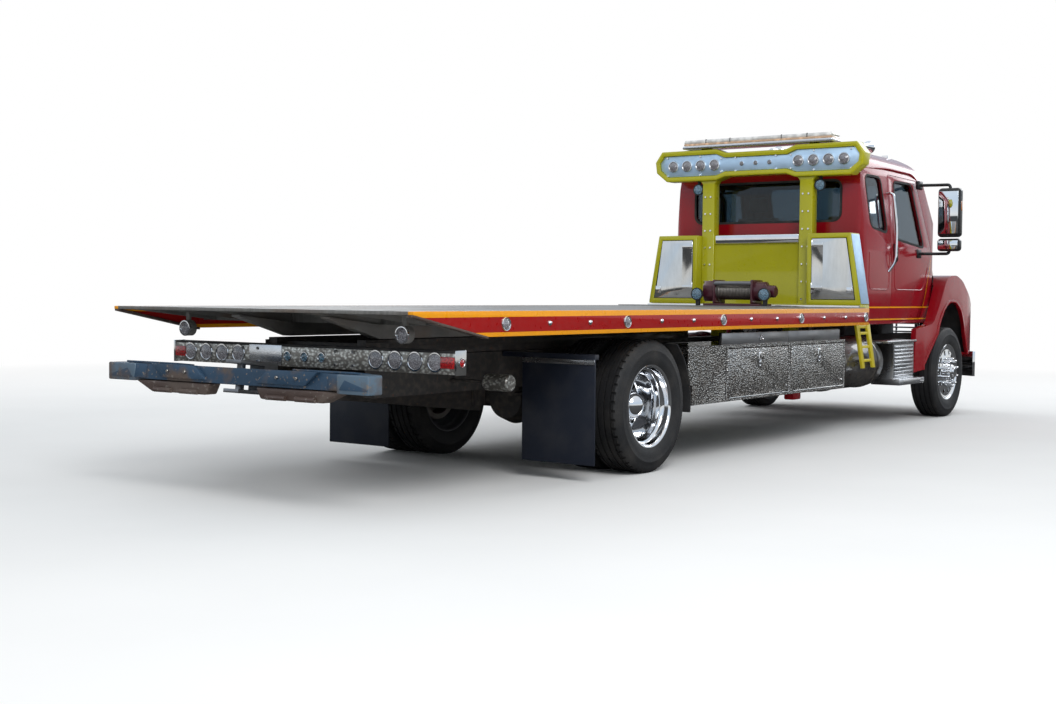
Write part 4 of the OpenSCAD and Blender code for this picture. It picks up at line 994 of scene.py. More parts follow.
class TRUCK_OT_cab(bpy.types.Operator):
    """Build the cab shell with its door openings and windows, and line the windows"""

    bl_idname = "truck.cab"
    bl_label = "Cab"

    def execute(self, context):
        gasket = context.scene.truck_sizes.gasket
        shell = cab_skin(0, 0.06)
        carve(shell, across_cab(DOOR, 0.04, 0.006))
        carve(shell, across_cab(QUARTER_WINDOW, 0.06))
        carve(shell, outline(raised(REAR_WINDOW), "X", CAB.x - 0.2, CAB.x + 0.35, 0.07))
        carve(shell, outline(raised(WINDSCREEN), "X", CAB.x + 1.5, CAB.x + 2.3, 0.08))
        feet = [block((CAB.x + x, sign * 0.393 - 0.04, low("cab_shell").z),
                      (CAB.x + x + 0.12, sign * 0.393 + 0.04, CAB.z + 0.02))
                for x in (0.12, 1.9) for sign in (-1, 1)]
        finished(shell, "cab_body", "cab_red", "chassis", "cab_shell")
        finished(joined(*feet), "cab_mounts", "chassis_black", "chassis", "cab_shell")
        self.seals(gasket)
        self.drip_rails()
        refinished("cab_glass", "glass")
        refinished("dashboard", "dash_plastic")
        return {"FINISHED"}

    def seals(self, width):
        """Rubber seals that stand 3 mm proud round the fixed windows"""
        side = across_cab(QUARTER_WINDOW, 0.06, width)
        carve(side, across_cab(QUARTER_WINDOW, 0.06, 0.0, 1.3))
        rings = [carve(cab_skin(0.003, 0.02), side, "INTERSECT")]
        for points, corner, start, end in ((REAR_WINDOW, 0.07, -0.2, 0.35), (WINDSCREEN, 0.08, 1.5, 2.3)):
            ring = outline(grown(raised(points), width), "X", CAB.x + start, CAB.x + end, corner + width)
            carve(ring, outline(raised(points), "X", CAB.x + start - 0.1, CAB.x + end + 0.1, corner))
            rings.append(carve(cab_skin(0.003, 0.02), ring, "INTERSECT"))
        finished(joined(*rings), "window_seals", "liner_black", "chassis")

    def drip_rails(self):
        """Drip rails along the roof's two sides"""
        line = [(0.10, 0.088, 1.52), (0.7, 0.078, 1.555), (1.42, 0.078, 1.545), (1.62, 0.08, 1.44)]
        rails = []
        for sign in SIDES.values():
            bent = [(CAB.x + a, sign * (CAB_HALF - inset), CAB.z + b) for a, inset, b in line]
            rails.append(tube(bent, 0.011, 0.12))
        finished(joined(*rails), "drip_rails", "hood_red", "chassis")


class TRUCK_OT_doors(bpy.types.Operator):
    """Cut both doors from the cab's shell, with seals, handles and grab bars"""

    bl_idname = "truck.doors"
    bl_label = "Doors"

    def execute(self, context):
        gasket = context.scene.truck_sizes.gasket
        panel = cab_skin(0, 0.06)
        carve(panel, across_cab(DOOR, 0.04), "INTERSECT")
        carve(panel, across_cab(DOOR_WINDOW, 0.05))
        seal = cab_skin(0.004, 0.02)
        ring = across_cab(DOOR_WINDOW, 0.05, gasket)
        carve(ring, across_cab(DOOR_WINDOW, 0.05, 0.0, 1.3))
        carve(seal, ring, "INTERSECT")
        for side, sign in SIDES.items():
            body = f"{side}_door"
            door = carve(copied(panel), half_space(sign), "INTERSECT")
            rounded(door, 0.004, 2, 50)
            finished(door, f"{side}_door_panel", "cab_red", body, f"{side}_door")
            trim = carve(copied(seal), half_space(sign), "INTERSECT")
            finished(trim, f"{side}_door_seal", "liner_black", body)
            self.handles(side, sign, body)
            for name, points, rides in (
                    ("door", [(0.775, 0.70), (0.775, 0.34), (1.58, 0.34), (1.70, 0.58)], body),
                    ("quarter", [(0.12, 0.70), (0.12, 0.34), (0.635, 0.34), (0.635, 0.70)], "chassis")):
                self.crease(f"{side}_{name}_crease", sign, points, rides)
            refinished(f"{side}_door_glass", "glass")
        remove(panel, seal)
        return {"FINISHED"}

    def crease(self, name, sign, points, body):
        """A pressed line along the panel"""
        y = sign * (CAB_HALF - 0.003)
        line = tube([(CAB.x + a, y, CAB.z + b) for a, b in points], 0.008, 0.09, 4)
        finished(line, name, "hood_red", body, smooth=60)

    def handles(self, side, sign, body):
        """A pull handle on its plate, and the long grab bar behind the door"""

        def beside(points):
            return [(CAB.x + a, sign * (CAB_HALF + out), CAB.z + b) for a, out, b in points]

        plate = block(*beside([(0.745, -0.004, 0.60), (0.785, 0.012, 0.80)]))
        pull = tube(beside([(0.765, 0.002, 0.615), (0.765, 0.03, 0.63), (0.765, 0.03, 0.77),
                            (0.765, 0.002, 0.785)]), 0.009, 0.02)
        finished(joined(plate, pull), f"{side}_door_handle", "mirror_black", body)
        bar = tube(beside([(0.655, -0.055, 1.30), (0.655, 0.02, 1.30), (0.68, 0.055, 0.95),
                           (0.66, 0.055, 0.62), (0.62, -0.005, 0.52)]), 0.014, 0.10)
        finished(bar, f"{side}_grab_bar", "chrome_trim", "chassis")


class TRUCK_OT_mirrors(bpy.types.Operator):
    """Model the mirror loops: arms, a tall head and a low one with their glass, and a marker"""

    bl_idname = "truck.mirrors"
    bl_label = "Mirrors"

    def execute(self, context):
        for side, sign in SIDES.items():
            node, body = f"{side}_mirror", f"{side}_door"
            x_front, z_low, z_high = high(node).x, low(node).z, high(node).z
            y_in, y_out = sign * (CAB_HALF - 0.03), sign * (high("left_mirror").y - 0.002)
            x = x_front - 0.065
            head_in = sign * (CAB_HALF + 0.19)
            arms = [tube([(x - 0.035, y_in, z), (x - 0.035, sign * (CAB_HALF + 0.05), z), (x, head_in, z),
                          (x, (head_in + y_out) / 2, z), (x, (head_in + y_out) / 2, z_end)], 0.016, 0.05)
                    for z, z_end in ((z_low + 0.03, z_low + 0.1), (z_high - 0.03, z_high - 0.1))]
            foot_y = sign * (CAB_HALF + 0.012)
            feet = [block((x - 0.095, y_in, z - 0.045), (x + 0.02, foot_y, z + 0.045), 0.01)
                    for z in (z_low + 0.03, z_high - 0.03)]
            shell = block((x - 0.05, head_in, z_low + 0.20), (x + 0.064, y_out, z_high - 0.065), 0.038, 5)
            low_shell = block((x - 0.05, head_in, z_low + 0.055), (x + 0.05, y_out, z_low + 0.185), 0.034, 5)
            loop = joined(shell, low_shell, *arms, *feet)
            finished(loop, f"{side}_mirror_loop", "mirror_black", body, node)
            margin = sign * 0.018
            panes = [block((x - 0.056, head_in + margin, a), (x - 0.048, y_out - margin, b), 0.003)
                     for a, b in ((z_low + 0.235, z_high - 0.10), (z_low + 0.075, z_low + 0.165))]
            finished(joined(*panes), f"{side}_mirror_panes", "mirror_glass", body)
            marker = block((x - 0.01, y_out - sign * 0.004, z_high - 0.30),
                           (x + 0.03, y_out + sign * 0.002, z_high - 0.20))
            finished(marker, f"{side}_mirror_marker", "lamp_amber", body)
        return {"FINISHED"}


# ---------------------------------------------------------------- hood

# Outlines measured from the front axle's place along the truck and from the ground
HOOD_CENTRE = [(0.102, 0.779), (0.96, 0.779), (0.975, 1.15), (0.925, 1.29), (0.805, 1.41), (0.495, 1.57),
               (0.102, 1.71)]
HOOD_BAY = [(0.05, 0), (0.93, 0), (0.95, 1.15), (0.90, 1.275), (0.79, 1.385), (0.485, 1.545), (0.05, 1.69)]
HOOD_TOP = [(0.09, 0.9), (0.675, 0.76), (0.975, 0.56)]
BAY_TOP = [(0.04, 0.86), (0.675, 0.73), (0.95, 0.53)]
FENDER_SIDE = [(-0.83, 0.504), (0.915, 0.689), (0.96, 0.859), (0.945, 1.119), (0.56, 1.329), (0.38, 1.459),
               (0.18, 1.519), (-0.06, 1.509), (-0.16, 1.439), (-0.43, 0.999), (-0.8, 0.949)]
FENDER_TOP = [(-0.84, 1.11), (-0.5, 1.15), (-0.25, 1.19), (0.6, 1.19), (0.855, 1.13), (0.975, 0.9)]
FENDER_INSIDE = [(-0.55, 1.11), (-0.5, 1.12), (-0.25, 1.16), (0.6, 1.16), (0.83, 1.105), (0.915, 0.96)]


def ahead(points):
    return [(FRONT_X + a, b) for a, b in points]


def arch(grow=0.0, foot=-0.01):
    """The wheel opening's outline beside the front axle"""
    points = [(-0.6 - grow, foot), (0.6 + grow, foot), (0.61 + grow, 0.569)]
    for i in range(13):
        turn = math.radians(8 + 164 * i / 12)
        points.append((0.06 + (0.39 + grow) * math.cos(turn), 0.839 + (0.39 + grow) * math.sin(turn)))
    return ahead(points + [(-0.61 - grow, 0.569)])


def plan(half):
    """A whole outline from above, from its left half given tail to nose"""
    return ahead([(a, -b) for a, b in half] + half[::-1])


class TRUCK_OT_hood(bpy.types.Operator):
    """Model the tilting hood with its fenders, arch lips, liners, grille and lamps"""

    bl_idname = "truck.hood"
    bl_label = "Hood"

    def execute(self, context):
        hood = outline(ahead(HOOD_CENTRE), "Y", -0.95, 0.95, 0.06, only=(2, 3, 4, 5))
        carve(hood, outline(plan(HOOD_TOP), "Z", 0, 3, 0.08, only=(1, 2, 3, 4)), "INTERSECT")
        rounded(hood, 0.045, 4, 35)
        top = outline(plan(FENDER_TOP), "Z", 0, 3, 0.08, only=(1, 2, 3, 4, 7, 8, 9, 10))
        for sign in (1, -1):
            fender = outline(ahead(FENDER_SIDE), "Y", sign * 0.64, sign * 1.19, 0.07, only=range(2, 10))
            carve(fender, top, "INTERSECT", keep=True)
            carve(hood, rounded(fender, 0.055, 5, 35), "UNION")
        remove(top)
        bay = outline(ahead(HOOD_BAY), "Y", -0.86, 0.86)
        carve(hood, carve(bay, outline(plan(BAY_TOP), "Z", -1, 3), "INTERSECT"))
        hollow = outline(grown(ahead(FENDER_SIDE), -0.025), "Y", -1.165, 1.165)
        carve(hood, carve(hollow, outline(plan(FENDER_INSIDE), "Z", 0, 3), "INTERSECT"))
        carve(hood, outline(arch(), "Y", -1.3, 1.3))
        solid = cab_block()
        carve(hood, resized(solid, 0.012, cab_middle()))
        remove(solid)
        clear = CAB_HALF + 0.012
        carve(hood, block((FRONT_X - 2, -clear, 0.479), (FRONT_X + 0.09, clear, 1.41), 0))
        carve(hood, outline(self.grille(), "X", FRONT_X + 0.7, FRONT_X + 1.1, 0.06))
        for sign in (1, -1):
            carve(hood, outline(self.lamp(sign), "X", FRONT_X + 0.7, FRONT_X + 1.1, 0.04))
        finished(hood, "hood_shell", "hood_red", "hood", "hood")
        self.lips()
        self.lamps()
        return {"FINISHED"}

    def grille(self, less=0.0):
        return self.window(0, 0.5 - less, 0.82 + less, 1.16 - less)

    def lamp(self, sign, less=0.0):
        return self.window(sign * 0.79, 0.15 - less, 0.84 + less, 1.03 - less)

    def window(self, y, half, bottom, top):
        return [(y - half, bottom), (y + half, bottom), (y + half, top), (y - half, top)]

    def lips(self):
        """A rolled lip round each arch and a dark liner inside it"""
        for side, sign in SIDES.items():
            lip = self.band(0, 0.03, sign * 1.10, sign * 1.2, 0)
            carve(lip, outline(grown(plan(FENDER_TOP), 0.006), "Z", 0, 3), "INTERSECT")
            carve(lip, outline(grown(plan(FENDER_TOP), -0.03), "Z", -1, 4))
            finished(rounded(lip, 0.006, 3, 40), f"{side}_arch_lip", "hood_red", "hood")
            liner = self.band(0.1, 0.118, sign * 0.66, sign * 1.164, -0.004)
            carve(liner, outline(grown(plan(FENDER_TOP), -0.03), "Z", -1, 3), "INTERSECT")
            beside_cab = CAB_HALF + 0.02
            carve(liner, block((FRONT_X - 1, -beside_cab, -1), (FRONT_X - 0.1, beside_cab, 3), 0))
            finished(liner, f"{side}_arch_liner", "liner_black", "hood")

    def band(self, inner, outer, y_in, y_out, by):
        """A strip round the wheel opening, kept inside the fender's side outline"""
        strip = outline(arch(outer), "Y", y_in, y_out)
        carve(strip, outline(arch(inner, -0.1), "Y", -1.4, 1.4))
        return carve(strip, outline(grown(ahead(FENDER_SIDE), by), "Y", -1.4, 1.4), "INTERSECT")

    def lamps(self):
        x = FRONT_X + 0.963
        frame_ring = outline(self.grille(0.004), "X", x - 0.06, x, 0.056)
        carve(frame_ring, outline(self.grille(0.045), "X", x - 0.1, x + 0.1, 0.03))
        rounded(frame_ring, 0.006, 2, 40)
        bars = [block((x - 0.052, -0.46, z), (x - 0.012, 0.46, z + 0.018), 0.006)
                for z in (0.872 + 0.048 * i for i in range(6))]
        uprights = [block((x - 0.045, y - 0.008, 0.86), (x - 0.02, y + 0.008, 1.12), 0.003)
                    for y in (-0.23, 0, 0.23)]
        finished(joined(frame_ring, *bars, *uprights), "grille", "chrome_trim", "chassis", "front_lamps")
        for side, sign in SIDES.items():
            x = FRONT_X + 0.875
            bowl = outline(self.lamp(sign, 0.004), "X", x - 0.09, x, 0.036)
            carve(bowl, outline(self.lamp(sign, 0.016), "X", x - 0.07, x + 0.1, 0.03))
            finished(bowl, f"{side}_headlamp_bowl", "lamp_chrome", "hood")
            pane = outline(self.lamp(sign, 0.018), "X", x - 0.03, x - 0.008, 0.028)
            finished(rounded(pane, 0.005, 3, 40), f"{side}_headlamp_lens", "lamp_grey", "hood")


# ---------------------------------------------------------------- inside the cab

SWELL_FRAMES = 20
SWELL_CAP = 0.011
CHANNEL_GAP, CHANNEL_HALF, CHANNEL_DEPTH = 0.14, 0.012, 0.007


class TRUCK_OT_seats(bpy.types.Operator):
    """Swell two seats and the rear bench over their foam, with sewn channels"""

    bl_idname = "truck.seats"
    bl_label = "Seats"

    def execute(self, context):
        cushions = []
        for side, sign in SIDES.items():
            y = sorted((sign * 0.25, sign * 0.79))
            base = block(self.at(0.95, y[0] + 0.03, 0.062), self.at(1.35, y[1] - 0.03, 0.325), 0.02)
            finished(base, f"{side}_seat_base", "dash_plastic", "chassis", "cab_seats")
            for name, low_corner, high_corner, tilt in (
                    ("cushion", (0.925, y[0], 0.332), (1.43, y[1], 0.468), 0),
                    ("back", (0.91, y[0] + 0.015, 0.475), (1.035, y[1] - 0.015, 1.12), -0.15),
                    ("headrest", (0.845, y[0] + 0.15, 1.14), (0.925, y[1] - 0.15, 1.33), -0.1)):
                cushions.append((f"{side}_seat_{name}", self.pad(low_corner, high_corner, tilt)))
        cushions.append(("bench_cushion", self.pad((0.085, -0.78, 0.30), (0.56, 0.78, 0.42), 0)))
        cushions.append(("bench_back", self.pad((0.085, -0.78, 0.425), (0.20, 0.78, 0.94), 0)))
        bench = block(self.at(0.085, -0.76, 0.062), self.at(0.54, 0.76, 0.298), 0.02)
        finished(bench, "bench_base", "dash_plastic", "chassis", "cab_seats")
        for name, pad in cushions:
            finished(pad, name, "seat_cloth", "chassis", "cab_seats", smooth=60)
        return {"FINISHED"}

    def at(self, x, y, z):
        return (CAB.x + x, y, CAB.z + z)

    def pad(self, low_corner, high_corner, tilt):
        """A cushion: a rounded block swollen as cloth, with sewn channels pressed in"""
        low_end, high_end = Vector(self.at(*low_corner)), Vector(self.at(*high_corner))
        inset = Vector((0.012, 0.012, 0.012))
        pad = block(low_end + inset, high_end - inset, 0.03, 3)
        apply(pad, "REMESH", mode="VOXEL", voxel_size=0.012)
        self.swell(pad)
        self.channels(pad, low_end, high_end)
        apply(pad, "SUBSURF", levels=1, render_levels=1)
        if tilt:
            pivot = Matrix.Translation((low_end.x, 0, low_end.z))
            moved(pad, pivot @ Matrix.Rotation(tilt, 4, "Y") @ pivot.inverted())
        return pad

    def swell(self, pad):
        """Blows the cover up from inside; no point moves further than the cap"""
        rest = [vertex.co.copy() for vertex in pad.data.vertices]
        activate(pad)
        bpy.ops.object.modifier_add(type="CLOTH")
        cover = pad.modifiers[-1]
        cover.settings.use_pressure = True
        cover.settings.uniform_pressure_force = 4
        cover.settings.effector_weights.gravity = 0
        cover.point_cache.frame_end = SWELL_FRAMES
        for count in range(1, SWELL_FRAMES + 1):
            bpy.context.scene.frame_set(count)
        bpy.ops.object.modifier_apply(modifier=cover.name)
        bpy.context.scene.frame_set(1)
        for vertex, start in zip(pad.data.vertices, rest):
            step = vertex.co - start
            if step.length > SWELL_CAP:
                vertex.co = start + step.normalized() * SWELL_CAP

    def channels(self, pad, low_end, high_end):
        """Presses sewn channels along the cushion, evenly over its width"""
        width = high_end.y - low_end.y
        centre = (low_end + high_end) / 2
        count = max(2, round(width / CHANNEL_GAP))
        for vertex in pad.data.vertices:
            place_in = (vertex.co.y - low_end.y) / width * count
            near = abs(place_in - round(place_in)) * width / count
            if 0 < round(place_in) < count and near < CHANNEL_HALF:
                press = CHANNEL_DEPTH * (1 - near / CHANNEL_HALF) ** 0.5
                away = vertex.co - centre
                vertex.co.x -= math.copysign(press, away.x)
                vertex.co.z -= math.copysign(press * 0.6, away.z)


# ---------------------------------------------------------------- lamps and small fittings

BACK = (-1, 0, 0)


def bullet(radius, tall):
    """A round lamp's rim standing on the XY plane, with a seat for its lens"""
    profile = [(0, 0), (1, 0), (1, 0.35), (0.94, 0.6), (0.84, 0.62), (0.78, 0.4), (0, 0.4)]
    return lathe([(radius * a, tall * b) for a, b in profile], steps=32)


def dome(radius, tall, start):
    """A domed lens with two rings, seated in a lamp's rim"""
    profile = [(0.84, 0.25), (0.80, 0.35), (0.52, 0.68), (0.48, 0.8), (0.2, 1), (0, 1)]
    return lathe([(0, start * 0.5), (radius, start * 0.5), (radius, start)]
                 + [(radius * a, start + tall * b) for a, b in profile], steps=32)


def lamps(name, places, radius, tall, body, lens_finish="lamp_grey", *stands_for):
    """Round lamps with chrome rims and domed lenses at each place"""
    finished(spread(bullet(radius, tall), places), name + "_rims", "lamp_chrome", body, *stands_for)
    pane = dome(radius * 0.79, tall * 0.55, tall * 0.4)
    finished(spread(pane, places), name + "_lenses", lens_finish, body)


def flood_lamp(name, spot, shell, pane, stem, body, *stands_for):
    """A work lamp that faces back: a turned shell on its stem, and a pane before it"""
    moved(shell, facing(spot, (1, 0, 0)))
    finished(joined(shell, stem), name, "liner_black", body, *stands_for)
    before = (spot[0] + 0.006, spot[1], spot[2])
    finished(moved(pane, facing(before, BACK)), name + "_lens", "lamp_blue", body)


def bolts(name, places, body, finish="lamp_chrome"):
    size = bpy.context.scene.truck_sizes.bolt
    head = lathe([(0, 0), (size, 0), (size, size * 0.75), (size * 0.86, size), (0, size)], steps=6)
    return finished(spread(head, places), name, finish, body, smooth=20)


class TRUCK_OT_side_rails(bpy.types.Operator):
    """Round the striped side rails and set their lamps, studs and the dark strip under the tail"""

    bl_idname = "truck.side_rails"
    bl_label = "Side rails"

    def execute(self, context):
        size = context.scene.truck_sizes
        refitted("deck_rails", "rail_red", "deck", 0.003)
        middle_z = (DECK_Z + RAIL_LOW) / 2 - 0.002
        for side, sign in SIDES.items():
            y, face = sign * DECK_HALF, (0, sign, 0)
            gap = 1.383
            lamp_x = [REAR_X - 1.866 + gap * i for i in range(5)]
            stud_x = [x + gap * k / 3 for x in lamp_x for k in (1, 2) if x + gap * k / 3 < DECK_FRONT - 0.1]
            self.low_lamps(side, [facing((x, y, middle_z), face) for x in lamp_x], size.rail_lamp)
            self.studs(side, [facing((x, y, middle_z), face) for x in stud_x], size.rail_stud)
            self.flange(side, sign)
        return {"FINISHED"}

    def low_lamps(self, side, places, radius):
        """Chrome rings with a domed lens in two steps"""
        for name, finish, profile in (
                ("rims", "lamp_chrome", [(0, -0.002), (1, -0.002), (1, 0.006), (0.93, 0.012), (0.84, 0.011),
                                         (0.78, 0.004), (0, 0.004)]),
                ("lenses", "lamp_grey", [(0, 0), (0.79, 0), (0.79, 0.008), (0.6, 0.014), (0.56, 0.012),
                                         (0.3, 0.019), (0, 0.020)])):
            lamp = lathe([(radius * a, b) for a, b in profile], steps=40)
            finished(spread(lamp, places), f"{side}_rail_lamp_{name}", finish, "deck")

    def studs(self, side, places, radius):
        stud = lathe([(0, -0.002), (radius, -0.002), (radius, 0.004), (radius * 0.85, 0.010),
                      (radius * 0.5, 0.016), (0, 0.018)], steps=24)
        finished(spread(stud, places), f"{side}_rail_studs", "lamp_chrome", "deck")

    def flange(self, side, sign):
        """The dark strip under the tapered tail"""
        z_tail = DECK_Z - 0.02
        points = [(DECK_TAIL + 0.003, z_tail - 0.012), (DECK_TAIL + TAPER, RAIL_LOW - 0.012),
                  (DECK_TAIL + TAPER, RAIL_LOW + 0.002), (DECK_TAIL + 0.003, z_tail + 0.004)]
        strip = outline(points, "Y", sign * (DECK_HALF - 0.05), sign * (DECK_HALF - 0.001))
        finished(rounded(strip, 0.002), f"{side}_tail_flange", "lift_rust", "deck")


class TRUCK_OT_tail(bpy.types.Operator):
    """Set the tail's edge strip and lamps, the wheel guards, flap strips and air cans"""

    bl_idname = "truck.tail"
    bl_label = "Tail and guards"

    def execute(self, context):
        edge = block((DECK_TAIL + 0.001, -DECK_HALF + 0.002, DECK_Z - 0.021),
                     (DECK_TAIL + 0.012, DECK_HALF - 0.002, DECK_Z - 0.001), 0.002)
        finished(edge, "tail_edge", "exhaust_steel", "deck")
        x = DECK_TAIL + 0.308
        spots = [facing((x, y, DECK_Z - 0.143), BACK) for y in (-0.95, 0.95)]
        lamps("tail_lamp", spots, 0.053, 0.02, "deck")
        for side, sign in SIDES.items():
            arc = []
            for radius, turns in ((0.562, range(-8, 53, 4)), (0.550, range(52, -9, -4))):
                for turn in map(math.radians, turns):
                    arc.append((REAR_X + radius * math.cos(turn), AXLE_Z + radius * math.sin(turn)))
            guard = outline(arc, "Y", sign * (BOX_Y - 0.45), sign * (BOX_Y - 0.004))
            finished(rounded(guard, 0.003, 2, 60), f"{side}_wheel_guard", "liner_black", "chassis")
            steel = block((REAR_X - 0.768, sign * 0.62, 0.80),
                          (REAR_X - 0.759, sign * (BOX_Y - 0.002), 0.835), 0.002)
            finished(steel, f"{side}_flap_strip", "bright_aluminium", "chassis")
            can = lathe([(0, -0.1), (0.05, -0.1), (0.056, -0.092), (0.056, 0.092), (0.05, 0.1), (0, 0.1)],
                        (REAR_X - 1.3, sign * 0.82, 0.69), "Y", 32)
            hanger = block((REAR_X - 1.33, sign * 0.42, 0.68), (REAR_X - 1.27, sign * 0.74, 0.70), 0.003)
            finished(can, f"{side}_air_can", "speckled_steel", "chassis")
            finished(hanger, f"{side}_air_can_hanger", "chassis_black", "chassis")
        return {"FINISHED"}


class TRUCK_OT_light_bar(bpy.types.Operator):
    """Round the rear light bar and set its lamps, markers, plate and end plates"""

    bl_idname = "truck.light_bar"
    bl_label = "Rear light bar"

    def execute(self, context):
        size = context.scene.truck_sizes
        x = REAR_X - 2.26
        half, bottom, top = 1.239, 0.795, 0.935
        body = softened("rear_light_bar", 0.003)
        carve(body, block((x - 0.05, -2, 0), (x - 0.001, 2, 2), 0))
        finished(body, "light_bar_channel", "speckled_steel", "chassis", "rear_light_bar")
        edge = block((x - 0.004, -half, top - 0.014), (x + 0.078, half, top + 0.001), 0.002)
        finished(edge, "light_bar_edge", "liner_black", "chassis")
        spots = [sign * (1.074 - 0.156 * i) for sign in (-1, 1) for i in range(4)]
        lamps("bar_lamp", [facing((x, y, 0.865), BACK) for y in spots], size.bar_lamp, 0.0115, "chassis")
        markers = [block((x - 0.011, y - 0.052, 0.83), (x + 0.002, y + 0.052, 0.9), 0.006)
                   for y in (-1.17, 1.17)]
        finished(joined(*markers), "bar_markers", "lamp_red", "chassis")
        lamps("bar_small_lamp", [facing((x, y, 0.862), BACK) for y in (-0.15, 0, 0.15)], 0.034, 0.0115,
              "chassis", "lamp_blue")
        plate = block((x - 0.006, 0.20, 0.80), (x + 0.001, 0.50, 0.93), 0.004)
        finished(plate, "blank_plate", "bright_aluminium", "chassis")
        for side, sign in SIDES.items():
            end = block((x - 0.006, sign * (half - 0.012), bottom - 0.004),
                        (x + 0.084, sign * (half + 0.004), top + 0.004), 0.003)
            finished(end, f"{side}_bar_end", "polished_steel", "chassis")
            spot = facing((x + 0.04, sign * (half + 0.003), 0.865), (0, sign, 0))
            lamps(f"{side}_bar_end_lamp", [spot], 0.03, 0.012, "chassis", "lamp_red")
        bolts("bar_bolts", [facing((x, y, z), BACK) for y in (-0.42, -0.27, 0.56, 0.42)
                            for z in (0.82, 0.905)], "chassis")
        return {"FINISHED"}


class TRUCK_OT_headboard(bpy.types.Operator):
    """Round the headboard and add its doors, hinges, latches, side plates and bolts"""

    bl_idname = "truck.headboard"
    bl_label = "Headboard"

    def execute(self, context):
        # The headboard's finish carries painted shade: its yellow is set darker than the same paint on the
        # ladders
        refitted("headboard_frame", "board_yellow", "chassis", 0.006)
        refitted("headboard_boxes", "board_yellow", "chassis", 0.005)
        x, base = BOARD_X, DECK_Z
        pillar = REAR_X + 3.99
        places = []
        for side, sign in SIDES.items():
            body = f"{side}_board_door"
            finished(softened(body, 0.003), f"{side}_board_panel", "polished_steel", body, body)
            pin_y = 0.651
            for i, z in enumerate((base + 0.187, base + 0.597)):
                barrel = lathe([(0, -0.05), (0.0045, -0.05), (0.0055, -0.048), (0.0055, 0.048),
                                (0.0045, 0.05), (0, 0.05)], (x, sign * pin_y, z), "Z", 16)
                strap = block((x - 0.0055, sign * pin_y, z - 0.02),
                              (x + 0.001, sign * (pin_y + 0.11), z + 0.02), 0.002)
                finished(joined(barrel, strap), f"{side}_board_hinge_{i + 1}", "chrome_trim", body)
            lever = block((x - 0.014, sign * 1.015, base + 0.135),
                          (x - 0.004, sign * 1.065, base + 0.195), 0.005)
            finished(lever, f"{side}_board_latch", "chrome_trim", body)
            edge = [(1.154, 0.04), (1.158, 0.04), (1.047, 0.70), (1.043, 0.70)]
            plate = outline([(a, base + b) for a, b in edge], "X", x + 0.012, x + 0.20)
            if sign < 0:
                moved(plate, Matrix.Scale(-1, 4, (0, 1, 0)))
            finished(rounded(plate, 0.0015), f"{side}_board_side_plate", "pod_plate", "chassis")
            places += [facing((pillar, sign * (0.533 + off), base + 0.08 + 0.17 * i), BACK)
                       for i in range(7) for off in (-0.03, 0.03)]
        bolts("pillar_bolts", places, "chassis")
        strip = block((pillar + 0.012, -0.46, base + 0.626), (pillar + 0.088, 0.46, base + 0.714), 0.012, 3)
        finished(strip, "board_top_strip", "chrome_trim", "chassis")
        foot = tube([(x - 0.012, -1.15, base + 0.005), (x - 0.012, 1.15, base + 0.005)], 0.022, sides=6)
        finished(foot, "board_foot_bar", "polished_steel", "chassis")
        return {"FINISHED"}


POD_HALF = [(0, -0.11), (0.33, -0.11), (0.43, -0.145), (1.0, -0.145), (1.12, -0.05), (1.135, 0.06),
            (1.06, 0.165), (0.43, 0.165), (0.33, 0.125), (0, 0.125)]


def pod_outline(centre, less=0.0):
    """The pod's outline round its centre height, anticlockwise seen from the front"""
    whole = POD_HALF + [(-y, z) for y, z in POD_HALF[-2:0:-1]]
    return [(y, centre + z) for y, z in grown(whole, -less)]


